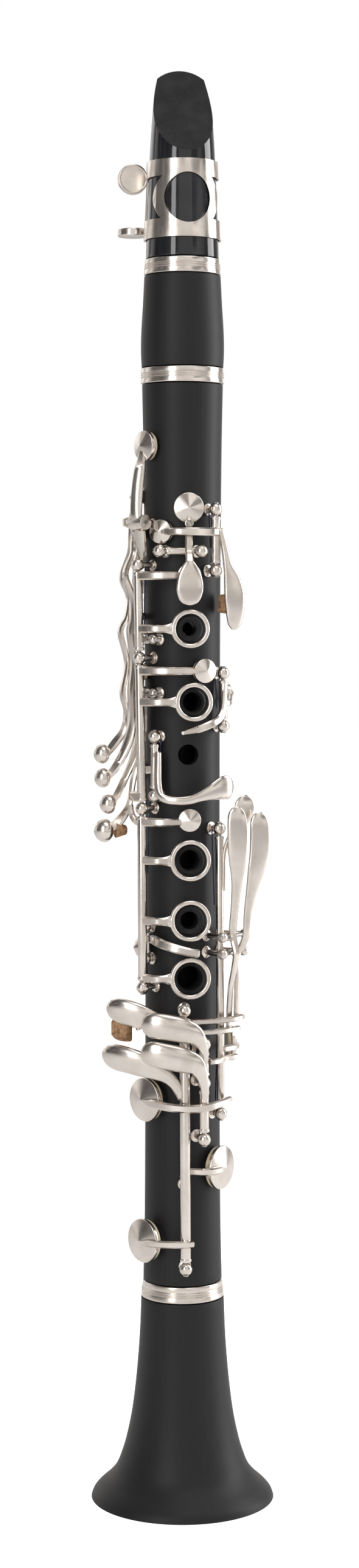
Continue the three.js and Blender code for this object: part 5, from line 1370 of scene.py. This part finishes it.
# Side trill keys: one strap from the cup down over the hinge to the touch, with an eye under it
sideKeys = {
    "side_key_1": {
        "strap": [
            [-103, 0.46, 0.875, 0.3, 0.5, 0], [-102, 0.64, 0.853, 0.7, 0.9, 0], [-99, 0.68, 0.832, 0.9, 0.9, 0],
            [-93, 0.76, 0.812, 1.1, 0.9, 0], [-86, 1.15, 0.785, 1.15, 0.9, 0], [-83, 0.86, 0.763, 1.15, 0.9, 0],
            [-82, 0.98, 0.7405, 1.15, 0.9, 0], [-82, 1.28, 0.7237, 1.15, 0.9, 0], [-82, 0.96, 0.69, 1.15, 0.9, 0],
            [-82, 1.18, 0.6567, 1.15, 0.9, 0], [-82, 0.98, 0.635, 1.2, 0.9, 0], [-82.5, 1.1, 0.615, 1.1, 0.9, -18],
            [-83.5, 1.6, 0.598, 1.05, 0.9, -38], [-84, 2, 0.5865, 0.8, 0.8, -40],
        ],
        "cup": (-103, 0.875),
        "touch": (-84, 2.05, 0.588),
        "hinge": "upperTrill",
        "eye": 0.65,
    },
    "side_key_2": {
        "strap": [
            [-84, 0.48, 0.836, 0.3, 0.5, 0], [-81, 0.66, 0.826, 0.7, 0.9, 0], [-76, 0.8, 0.81, 0.95, 0.9, 0],
            [-72, 1.25, 0.787, 1.1, 0.9, 0], [-70.5, 0.95, 0.765, 1.2, 0.9, 0], [-70, 0.92, 0.7405, 1.2, 0.9, 0],
            [-69.5, 1.05, 0.7237, 1.2, 0.9, 0], [-69, 0.9, 0.69, 1.2, 0.9, 0], [-69.5, 1, 0.66, 1.2, 0.9, 0],
            [-70, 0.96, 0.635, 1.3, 0.9, 0], [-71, 1, 0.612, 1.3, 0.9, -20], [-74.5, 1.2, 0.592, 1.1, 0.8, -32],
            [-78.5, 1.56, 0.574, 1, 0.8, -36], [-82, 2, 0.561, 0.8, 0.8, -38],
        ],
        "cup": (-84, 0.836),
        "touch": (-82, 2.05, 0.5615),
        "hinge": "upperTrill",
        "eye": 0.42,
    },
    "side_key_3": {
        "strap": [
            [-106, 0.46, 0.681, 0.3, 0.5, 0], [-101, 0.46, 0.679, 0.6, 0.8, 0], [-93, 0.52, 0.673, 0.9, 0.8, 0],
            [-85, 0.64, 0.665, 1, 0.8, 0], [-81, 0.68, 0.656, 1.1, 0.8, 0], [-81, 0.5, 0.635, 1.2, 0.8, 0],
            [-81, 0.5, 0.61, 1.2, 0.8, 0], [-81, 0.66, 0.585, 1.2, 0.8, -20], [-80, 1.1, 0.561, 1.05, 0.8, -26],
            [-77.3, 1.5, 0.544, 1, 0.8, -34], [-76, 1.85, 0.533, 0.8, 0.8, -42],
        ],
        "cup": (-106, 0.681),
        "touch": (-76, 1.92, 0.533),
        "hinge": "lowerTrill",
        "eye": 0.65,
    },
    "side_key_4": {
        "strap": [
            [-76, 0.44, 0.679, 0.3, 0.5, 0], [-73, 0.44, 0.673, 0.6, 0.8, 0], [-68, 0.5, 0.664, 0.8, 0.8, 0],
            [-66, 0.56, 0.656, 1, 0.9, 0], [-66.5, 0.4, 0.64, 1, 0.8, 0], [-67.5, 0.4, 0.61, 1, 0.8, 0],
            [-68.5, 0.62, 0.583, 0.95, 0.75, 0], [-70.2, 0.86, 0.56, 0.9, 0.75, -6], [-73.6, 1.0, 0.532, 0.9, 0.75, -12],
            [-77, 1.42, 0.514, 1.1, 0.85, -40], [-78, 1.95, 0.503, 0.8, 0.8, -45],
        ],
        "cup": (-76, 0.679),
        "touch": (-78, 2.05, 0.5035),
        "hinge": "lowerTrill",
        "eye": 0.42,
    },
}
sideTouch = {
    "sizes": {"side_key_4": 4.05},
    "size": 3.4,
    "dome": [
        (0, -0.58), (0.35, -0.55), (0.66, -0.44), (0.88, -0.25), (1.0, 0.0), (0.98, 0.28), (0.87, 0.55),
        (0.66, 0.8), (0.36, 0.97), (0, 1.03),
    ],
    "corkSpan": (20.6, 3.9),
    "cork": [(0, 0), (1.5, 0), (1.7, 0.3), (2.7, 3.9), (0, 3.9)],
}


def buildSideKey(name, spec):
    def fittings(mesh):
        half = 0.1
        low, high = (onHinge(spec["hinge"], spec["eye"] + shift) for shift in (-half, half))
        rodShell(mesh, low, high, 1.55, 28)
        foot = onHinge(spec["hinge"], spec["eye"])
        rodShell(mesh, foot, foot + outOf(foot) * 2.6, 1.2, 20)
        angle, height, along = spec["touch"]
        place = standing(angle, tube["radius"] + tube["keyHeight"] * height, heightAlong(along))
        size = sideTouch["sizes"].get(name, sideTouch["size"])
        dome = [(radius * size, height * size) for radius, height in sideTouch["dome"]]
        turnShell(mesh, dome, 40, place, round=0.5)
        if name == "side_key_4":
            under = standing(angle, sideTouch["corkSpan"][0], heightAlong(along))
            turnShell(mesh, sideTouch["cork"], 20, under, corkIndex)

    buildKey(name, [spec["strap"]], smallCups=[(*spec["cup"], trillCup)], extra=fittings)


for name, spec in sideKeys.items():
    buildSideKey(name, spec)
print("upper joint keys built")

# Lower joint keys
lowE = {
    "touch": [
        [-76, 2.25, 0.2565, 0.3, 0.4], [-72.5, 2.12, 0.256, 0.75, 0.8], [-66, 1.92, 0.2545, 1, 1],
        [-56, 1.62, 0.252, 1.02, 1], [-45, 1.33, 0.2475, 0.95, 0.85], [-34, 1.12, 0.242, 0.72, 0.65],
        [-24, 1.02, 0.236, 0.55, 0.5], [-17, 0.98, 0.228, 0.42, 0.42], [-12.5, 0.92, 0.218, 0.32, 0.38],
        [-10, 0.88, 0.211, 0.26, 0.36],
    ],
    "hook": [
        [-9, 1, 0.296, 0.62, 1], [0, 1.07, 0.296, 0.62, 1], [10, 1.08, 0.296, 0.62, 1],
        [25, 1.16, 0.296, 0.62, 1], [38, 1.32, 0.2965, 0.62, 1], [50, 1.37, 0.297, 0.68, 1],
        [56, 1.35, 0.297, 0.6, 0.9],
    ],
    "arm": [
        [2, 1.02, 0.052, 0.75, 1], [-6, 1.08, 0.052, 0.8, 1], [-18, 1.05, 0.0515, 0.8, 1],
        [-32, 1.02, 0.051, 0.8, 1], [-44, 1, 0.0505, 0.75, 1], [-53, 0.98, 0.05, 0.45, 0.7],
        [-57, 0.95, 0.05, 0.25, 0.4],
    ],
    "cup": (-57, 0.05, lowCup, padTravel),
}
buildKey("low_e_key", [lowE["hook"], lowE["arm"]], [(lowE["touch"], 8.8)],
  [dict(name="centre", radius=1.75)], [lowE["cup"]])
buildPad("low_e_pad", "low_e_key", lowE["cup"])

middlePost = shareAlong("rightTouch", 0.2285)
lowF = {
    "touch": [
        [-39, 2, 0.2655, 0.3, 0.4], [-36, 1.97, 0.265, 0.72, 0.75], [-30, 1.93, 0.2635, 0.98, 0.95],
        [-19, 1.86, 0.261, 1, 1], [-8, 1.82, 0.257, 0.95, 0.95], [0, 1.8, 0.252, 0.8, 0.75],
        [4.5, 1.78, 0.244, 0.55, 0.52], [7.5, 1.72, 0.232, 0.38, 0.42], [9, 1.6, 0.219, 0.3, 0.42],
        [9.8, 1.38, 0.209, 0.28, 0.42],
    ],
    "arm": [
        [-56, 0.72, 0.2055, 0.3, 0.5], [-49, 0.86, 0.2055, 0.6, 0.9], [-38, 1.02, 0.205, 0.85, 1],
        [-23, 1.24, 0.2035, 0.9, 1.05], [-9, 1.38, 0.2025, 0.9, 1.05], [4, 1.46, 0.2025, 0.9, 1.05],
        [13, 1.42, 0.2035, 0.9, 1.05], [25, 1.25, 0.205, 0.85, 1], [37, 1.08, 0.206, 0.8, 1],
        [46, 0.99, 0.207, 0.6, 0.9],
    ],
    "foot": [[9, 1.24, 0.207, 0.8, 1], [10, 1.3, 0.2, 0.8, 1]],
    "strut": [
        [-1, 1.72, 0.253, 0.45, 0.9], [0, 1.5, 0.2605, 0.45, 0.9], [1.5, 1.26, 0.269, 0.45, 0.9],
        [3, 1.14, 0.277, 0.5, 0.9], [6, 1.12, 0.284, 0.6, 0.9], [16, 1.13, 0.284, 0.6, 1],
        [30, 1.1, 0.284, 0.6, 1], [44, 1.12, 0.284, 0.6, 1], [56, 1.16, 0.284, 0.6, 0.9],
    ],
    "cup": (-56, 0.206, lowCup, padTravel - 0.3),
}
buildKey("low_f_key", [lowF["arm"], lowF["foot"], lowF["strut"]], [(lowF["touch"], 8.8)],
         [dict(name="rightTouch", low=middlePost)], [lowF["cup"]])
buildPad("low_f_pad", "low_f_key", lowF["cup"])

rightLever = {
    "touch": [
        [-39, 1.95, 0.296, 0.3, 0.4], [-36, 1.93, 0.2955, 0.72, 0.75], [-30, 1.9, 0.2945, 0.98, 0.95],
        [-19, 1.82, 0.2925, 1, 1], [-8, 1.76, 0.289, 0.95, 0.95], [0, 1.72, 0.284, 0.78, 0.78],
        [5, 1.68, 0.276, 0.52, 0.55], [8.5, 1.58, 0.266, 0.34, 0.42], [10, 1.4, 0.256, 0.28, 0.42],
        [10.5, 1.25, 0.249, 0.24, 0.4],
    ],
    "foot": [[12, 1.08, 0.252, 0.6, 0.8], [16, 0.93, 0.252, 0.6, 0.7], [20, 0.86, 0.252, 0.6, 0.6]],
}
buildKey("right_fsharp_lever", [rightLever["foot"]], [(rightLever["touch"], 8.8)],
  [dict(name="rightTouch", high=middlePost)])

lowFsharp = {
    "bar": [
        [17, 1.2, 0.2515, 0.6, 0.9], [22, 1.16, 0.2515, 0.65, 0.9], [31, 0.98, 0.2515, 0.65, 1],
        [41, 0.84, 0.252, 0.65, 1], [50, 0.95, 0.2525, 0.65, 1], [56, 1.05, 0.2525, 0.6, 0.9],
    ],
    "arm": [
        [41, 0.72, 0.262, 0.7, 1], [52, 0.8, 0.262, 0.7, 1], [66, 0.86, 0.2615, 0.65, 1],
        [80, 0.8, 0.261, 0.5, 0.9], [90, 0.76, 0.261, 0.3, 0.5],
    ],
    "touch": [
        [42, 0.72, 0.437, 0.2, 0.3, 0], [42, 0.74, 0.455, 0.22, 0.34, 0], [42.5, 0.76, 0.478, 0.24, 0.36, 0],
        [45, 0.92, 0.493, 0.3, 0.38, -8], [49, 1.16, 0.505, 0.42, 0.4, -22], [52.5, 1.38, 0.516, 0.64, 0.42, -36],
        [54, 1.48, 0.526, 0.82, 0.42, -44], [54, 1.48, 0.535, 0.74, 0.4, -46], [54, 1.46, 0.5405, 0.46, 0.3, -46],
        [54, 1.44, 0.543, 0.15, 0.2, -46],
    ],
    "cup": (90, 0.261, fsharpCup, padTravel - 0.6),
}
buildKey("low_fsharp_key", [lowFsharp["bar"], lowFsharp["arm"]], [(lowFsharp["touch"], 8.8)],
         [dict(name="rightStack", radius=1.35)], [lowFsharp["cup"]])
buildPad("low_fsharp_pad", "low_fsharp_key", lowFsharp["cup"])

lowAflat = {
    "touch": [
        [-73.5, 2.1, 0.308, 0.3, 0.4], [-70, 1.97, 0.3075, 0.75, 0.8], [-63, 1.72, 0.3055, 1, 0.95],
        [-53, 1.4, 0.302, 1, 0.85], [-43, 1.14, 0.2985, 0.85, 0.65], [-34, 0.92, 0.2965, 0.6, 0.5],
        [-26, 0.68, 0.296, 0.36, 0.42], [-18, 0.46, 0.296, 0.3, 0.38], [-10, 0.34, 0.296, 0.26, 0.36],
    ],
    "arm": [
        [-5, 0.36, 0.129, 0.8, 0.9], [5, 0.52, 0.129, 0.8, 0.95], [14, 0.74, 0.129, 0.8, 1],
        [22, 0.82, 0.129, 0.8, 1], [34, 0.74, 0.129, 0.75, 1], [43, 0.66, 0.129, 0.45, 0.7],
        [47, 0.62, 0.129, 0.25, 0.4],
    ],
    "cup": (47, 0.129, lowCup),
}


def aflatCork(mesh):  # keeps the two left touches from clicking
    slab = [[-78, 1.62, 0.2842, 2.3, 2.1], [-70, 1.5, 0.2842, 2.6, 2.4], [-61, 1.3, 0.2842, 2.6, 2.2]]
    loftShell(mesh, slab, 3.1, 1.6, armOutline(), material=corkIndex)
    place = keyPoint([-60, 1.1, 0.297])
    rodShell(mesh, place, keyPoint([-58, 0.9, 0.284]), 1.0, 20)


buildKey("low_aflat_key", [lowAflat["arm"]], [(lowAflat["touch"], 8.8)],
         [dict(name="inner", low=0.015, high=0.995, radius=1.35, ball=1.87)], [lowAflat["cup"]],
         extra=aflatCork)
buildPad("low_aflat_pad", "low_aflat_key", lowAflat["cup"])

leftLevers = {
    "left_f_lever": {
        "touch": [
            [36, 1.72, 0.532, 0.14, 0.2, 40], [36, 1.74, 0.5295, 0.44, 0.34, 40], [36, 1.78, 0.522, 0.7, 0.44, 40],
            [36.5, 1.8, 0.508, 0.79, 0.46, 40],
            [37, 1.78, 0.49, 0.78, 0.46, 40], [38, 1.72, 0.47, 0.66, 0.46, 40], [39.5, 1.6, 0.45, 0.44, 0.44, 38],
            [40.5, 1.45, 0.425, 0.34, 0.42, 34], [41, 1.3, 0.4, 0.32, 0.42, 30], [41.5, 1.25, 0.3875, 0.3, 0.42, 26],
        ],
        "tail": [
            [41.5, 1.26, 0.3925, 0.85, 1.1, 22], [42, 1.32, 0.382, 0.8, 1, 18], [42, 1.45, 0.369, 0.75, 0.9, 12],
            [42.5, 1.32, 0.353, 0.75, 0.85, 4], [44.4, 1.05, 0.332, 0.75, 0.8, 0], [46, 0.9, 0.305, 0.75, 0.8, 0],
            [46, 0.88, 0.28, 0.7, 0.7, 0],
        ],
        "hinge": "leftF",
        "eye": (0.57, 0.76),
    },
    "left_e_lever": {
        "touch": [
            [51, 2.28, 0.525, 0.14, 0.2, 48], [51, 2.3, 0.5225, 0.44, 0.34, 48], [51, 2.34, 0.515, 0.7, 0.44, 48],
            [51.5, 2.36, 0.5, 0.78, 0.46, 48],
            [51.8, 2.32, 0.48, 0.78, 0.46, 46], [51, 2.18, 0.46, 0.68, 0.46, 42], [50.5, 1.98, 0.44, 0.48, 0.44, 38],
            [50, 1.8, 0.415, 0.36, 0.42, 34], [50, 1.7, 0.39, 0.32, 0.42, 30], [50, 1.5, 0.378, 0.3, 0.42, 26],
            [50, 1.22, 0.369, 0.3, 0.42, 26],
        ],
        "tail": [
            [50, 1.22, 0.372, 0.85, 1.1, 16], [50, 1.22, 0.36, 0.8, 1, 10], [50.5, 1.24, 0.345, 0.75, 0.9, 4],
            [51, 1.17, 0.325, 0.75, 0.85, 0], [52, 1.12, 0.305, 0.75, 0.8, 0], [52, 1.11, 0.292, 0.7, 0.75, 0],
        ],
        "hinge": "leftE",
        "eye": (0.27, 0.45),
    },
}


def buildLeftLever(name, spec):
    def eye(mesh):
        low, high = (onHinge(spec["hinge"], share) for share in spec["eye"])
        rodShell(mesh, low, high, 1.55, 28)

    buildKey(name, [spec["tail"]], [(spec["touch"], 8.8)], extra=eye)


for name, spec in leftLevers.items():
    buildLeftLever(name, spec)
print("lower joint keys built")

# Posts with the steel rods between them, and the slotted screws that hold the rods
postSize = {"flange": 2.1, "saddleFlange": 1.5, "stem": 1.05, "rod": 0.7, "sink": 0.05}
screwSize = {"radius": 1.0, "height": 0.4, "slotWidth": 0.32, "slotDepth": 0.3, "seed": 4}

posts = {
    "left_stack_posts": [("leftUpper", (0, upperPost, 1), 2.2), ("leftLower", (1,), 2.2)],
    "csharp_posts": [("csharp", (0, 1), 2.2)],
    "throat_a_posts": [("throatA", (0, 1), 2.2)],
    "throat_gsharp_posts": [("throatGsharp", (0, 1), 2.2)],
    "upper_sliver_posts": [("upperSliver", (0, 1), 2.2)],
    "upper_trill_posts": [("upperTrill", (0, 1), 1.75)],
    "lower_trill_posts": [("lowerTrill", (0, 1), 1.75)],
    "thumb_ring_posts": [("thumbRing", (0, 1), 1.75)],
    "lower_sliver_posts": [("lowerSliver", (0, 1), 1.75)],
    "right_stack_posts": [("rightStack", (0, 1), 2.2)],
    "right_touch_posts": [("rightTouch", (0, middlePost, 1), 2.2)],
    "low_key_posts": [("centre", (0, 1), 2.2), ("inner", (1,), 1.49)],
    "left_f_lever_posts": [("leftF", (0, 1), 1.75)],
    "left_e_lever_posts": [("leftE", (0, 1), 1.75)],
    "register_posts": [("register", (0.5,), 1.75)],
}


def reachOf(place):  # from the foot of a post on the body to the middle of its ball
    return (math.hypot(place.x, place.y) - radiusAt(place.z) + postSize["sink"]) * mm


def buildPosts(name, groups):
    flange = postSize["saddleFlange"] if name == "register_posts" else postSize["flange"]
    places, edges, balls = [], [], []
    for hinge, shares, ball in groups:
        start, end = hingeEnds(hinge)
        edges.append((len(places), len(places) + 1))
        places += [start, end]
        balls += [ball * mm if share in shares else 0.0 for share in (0, 1)]
        for share in shares:
            if share not in (0, 1):
                places.append(onHinge(hinge, share))
                balls.append(ball * mm)
    fields = {
        "ball": balls,
        "reach": [reachOf(place) for place in places],
        "flange": [flange * mm] * len(places),
        "out": [outOf(place) for place in places],
    }
    sizes = {"Stem Radius": postSize["stem"] * mm, "Rod Radius": postSize["rod"] * mm}
    sizes.update({"Plated": silver, "Steel": steel})
    settle(grow(name + "_dress", postTree, places, edges, fields, sizes), "body", "nickel_silver", name)


def buildPivotScrews():  # one slotted head at each end of every rod that has a post there
    places, ways = [], []
    for groups in posts.values():
        for hinge, shares, ball in groups:
            start, end = hingeEnds(hinge)
            along = (end - start).normalized()
            for share, place, way in ((0, start, -along), (1, end, along)):
                if share in shares:
                    places.append(place + way * (ball - 0.28))
                    ways.append(way)
    values = {
        "Head Radius": screwSize["radius"] * mm,
        "Head Height": screwSize["height"] * mm,
        "Slot Width": screwSize["slotWidth"] * mm,
        "Slot Depth": screwSize["slotDepth"] * mm,
        "Seed": screwSize["seed"],
        "Steel": steel,
    }
    screws = grow("pivot_screws", screwTree, places, [], {"way": ways}, values)
    settle(screws, "body", "nickel_silver")
    boss = standing(-2, tube["radius"] + tube["keyHeight"] * 0.62 + 1.05, heightAlong(0.8435))
    values["Head Height"] = 0.25 * mm
    adjusting = grow("adjusting_screw", screwTree, [boss.translation], [], {"way": [polar(-2, 1, 0)]}, values)
    settle(adjusting, "throat_a_key", "nickel_silver")


# Blued needle springs: post share on the hinge, direction along it, length, side shift in degrees
springs = [
    ("leftUpper", 0, 1, 21, 3), ("leftUpper", 1, -1, 24, 3), ("leftLower", 1, -1, 24, 3),
    ("leftLower", 0, 1, 22, 3), ("rightStack", 0, 1, 26, -3), ("rightStack", 1, -1, 24, -3),
    ("centre", 0, 1, 22, 3), ("centre", 1, -1, 24, 3), ("throatGsharp", 0, 1, 13, -4),
    ("csharp", 0, 1, 13, 5), ("upperSliver", 0, 1, 12, -4), ("rightTouch", 1, -1, 13, 4),
]
springSize = {"radius": 0.24, "start": 2.9, "end": 2.0}


def buildSprings():
    places, edges = [], []
    for hinge, share, way, length, turn in springs:
        start, end = hingeEnds(hinge)
        along = (end - start).normalized() * way
        post = onHinge(hinge, share)
        out = outOf(post)
        aside = out.cross(along).normalized() * math.copysign(0.55, turn)
        first = post - out * springSize["start"] + aside
        last = post + along * length - out * springSize["end"] + aside
        edges.append((len(places), len(places) + 1))
        places += [first, last]
    values = {"Wire Radius": springSize["radius"] * mm, "Blued": blued}
    settle(grow("needle_springs", springTree, places, edges, {}, values), "body", "nickel_silver")


for name, groups in posts.items():
    buildPosts(name, groups)
buildPivotScrews()
buildSprings()
print("posts built")

# Thumb rest and thumb tube, behind the body
thumbRest = {
    "along": 0.44,
    "width": 11,
    "length": 19,
    "plate": 1.4,
    "reach": 15,
    "hook": [
        (0.35, 1.35), (0.6, 2), (0.85, 3), (1, 4), (1, 2.6), (0.8, 1.5), (0.6, 0.7), (0.3, 0.1),
    ],
    "bevel": 0.45,
}
thumbTube = {"along": 0.717, "inner": 3.2, "outer": 4.1, "rise": 3.1}


def buildThumbRest(spec):
    z = heightAlong(spec["along"])
    base = radiusAt(z) + 0.3
    thick, reach, half = spec["plate"], spec["reach"], spec["length"] / 2
    side = [(base, z - half), (base + thick, z - half), (base + thick, z + half - thick)]
    for share, drop in spec["hook"]:
        side.append((base + reach * share, z + half - thick * drop))
    side += [(base + thick, z + half), (base, z + half)]
    mesh = bmesh.new()
    slabShell(mesh, side, spec["width"])
    edges = [edge for edge in mesh.edges if edge.calc_face_angle(0) > 0.9]
    bmesh.ops.bevel(mesh, geom=edges, offset=spec["bevel"], segments=3, profile=0.6, affect="EDGES")
    settle(keepMesh(mesh, "thumb_rest_dress", [silver], 30), "body", "nickel_silver", "thumb_rest")


def buildThumbTube(spec):
    z = heightAlong(spec["along"])
    top = radiusAt(z) + spec["rise"]
    low = tube["bore"] + 0.6
    inner, outer = spec["inner"], spec["outer"]
    outline = [(inner, low), (outer, low), (outer, top - 0.3), (outer - 0.3, top), (inner + 0.25, top)]
    outline.append((inner, top - 0.3))
    mesh = bmesh.new()
    turnShell(mesh, outline, 56, standing(180, 0, z), closed=True, round=0.1)
    settle(keepMesh(mesh, "thumb_tube_dress", [silver]), "body", "nickel_silver", "thumb_tube")


buildThumbRest(thumbRest)
buildThumbTube(thumbTube)
print("thumb fittings built")

# The studio: white paper under and behind, one big soft light by the camera, a duller room at the sides
studio = {
    "floor": (0.85, 0.85, 0.85),
    "glow": (0.12, 0.95),  # what the paper gives back to the metal, and to the camera
    "backdrop": 1.0,
    "roomStrength": 0.92,
    "facingStops": [
        (0.0, 0.92), (0.1, 0.86), (0.22, 0.6), (0.34, 0.2), (0.5, 0.14), (0.62, 0.3), (0.8, 0.95), (1.0, 1.0),
    ],
    "patches": (3.2, 0.4, 1.4),  # scale, darkest and brightest share
    "warmth": (1.0, 0.97, 0.94),
}


def buildFloor(spec):
    mesh = bmesh.new()
    bmesh.ops.create_circle(mesh, cap_ends=True, segments=96, radius=6000)
    floor = keepMesh(mesh, "floor", [])
    material, tree, shader = newMaterial("floorPaper", spec["floor"], 0.9)
    shader.inputs["Emission Color"].default_value = (1, 1, 1, 1)
    path = addNode(tree, "ShaderNodeLightPath")
    rangeTo(tree, path.outputs["Is Camera Ray"], *spec["glow"], shader.inputs["Emission Strength"])
    noise = addNode(tree, "ShaderNodeTexNoise", {"Scale": 40.0})
    rangeTo(tree, noise.outputs["Fac"], 0.85, 0.95, shader.inputs["Roughness"])
    floor.data.materials.append(material)


def buildWorld(spec):
    world = bpy.data.worlds.new("studio")
    bpy.context.scene.world = world
    world.use_nodes = True
    tree = world.node_tree
    tree.nodes.clear()
    coords = addNode(tree, "ShaderNodeTexCoord")
    split = addNode(tree, "ShaderNodeSeparateXYZ")
    tree.links.new(coords.outputs["Generated"], split.inputs[0])
    facing = addNode(tree, "ShaderNodeMapRange", {"From Min": -1.0, "From Max": 1.0})
    tree.links.new(split.outputs["Y"], facing.inputs["Value"])
    ramp = addNode(tree, "ShaderNodeValToRGB")
    stops = ramp.color_ramp.elements
    while len(stops) < len(spec["facingStops"]):
        stops.new(0.5)
    for stop, (place, value) in zip(stops, spec["facingStops"]):
        stop.position = place
        stop.color = (*(value * tint for tint in spec["warmth"]), 1)
    tree.links.new(facing.outputs[0], ramp.inputs[0])
    scale, darkest, brightest = spec["patches"]
    noise = addNode(tree, "ShaderNodeTexNoise", {"Scale": scale, "Detail": 1.5, "Roughness": 0.4})
    tree.links.new(coords.outputs["Generated"], noise.inputs["Vector"])
    limits = {"From Min": 0.46, "From Max": 0.54, "To Min": darkest, "To Max": brightest}
    patch = addNode(tree, "ShaderNodeMapRange", limits)
    tree.links.new(noise.outputs["Fac"], patch.inputs["Value"])
    room = addNode(tree, "ShaderNodeBackground")
    front = addNode(tree, "ShaderNodeMapRange", {"From Min": 0.03, "From Max": 0.06})
    tree.links.new(facing.outputs[0], front.inputs["Value"])
    even = addNode(tree, "ShaderNodeMix")  # the light by the camera stays even
    even.inputs[2].default_value = 1.0
    tree.links.new(front.outputs[0], even.inputs[0])
    tree.links.new(patch.outputs[0], even.inputs[3])
    level = timesNode(tree, even.outputs[0], spec["roomStrength"])
    tree.links.new(level, room.inputs["Strength"])
    tree.links.new(ramp.outputs[0], room.inputs["Color"])
    seen = addNode(tree, "ShaderNodeBackground", {"Color": (1, 1, 1, 1), "Strength": spec["backdrop"]})
    path = addNode(tree, "ShaderNodeLightPath")
    mix = addNode(tree, "ShaderNodeMixShader")
    tree.links.new(path.outputs["Is Camera Ray"], mix.inputs[0])
    tree.links.new(room.outputs[0], mix.inputs[1])
    tree.links.new(seen.outputs[0], mix.inputs[2])
    output = addNode(tree, "ShaderNodeOutputWorld")
    tree.links.new(mix.outputs[0], output.inputs["Surface"])


lights = {
    "softboxLeft": dict(place=(-0.75, -0.95, 0.6), size=(0.3, 1.0), power=4.5),
    "softboxRight": dict(place=(1.0, 0.05, 0.5), size=(0.5, 1.4), power=11),
    "topBox": dict(place=(0.1, -0.35, 1.3), size=(0.7, 0.7), power=3.5),
}


def addLight(name, spec):
    data = bpy.data.lights.new(name, "AREA")
    data.shape = "RECTANGLE"
    data.size, data.size_y = spec["size"]
    data.energy = spec["power"]
    obj = bpy.data.objects.new(name, data)
    obj.location = spec["place"]
    aim = Vector((0, 0, 0.26)) - Vector(spec["place"])
    obj.rotation_euler = aim.to_track_quat("-Z", "Y").to_euler()
    bpy.context.scene.collection.objects.link(obj)


bpy.context.scene.view_settings.view_transform = "Standard"
buildFloor(studio)
buildWorld(studio)
for name, spec in lights.items():
    addLight(name, spec)
print("studio lit")
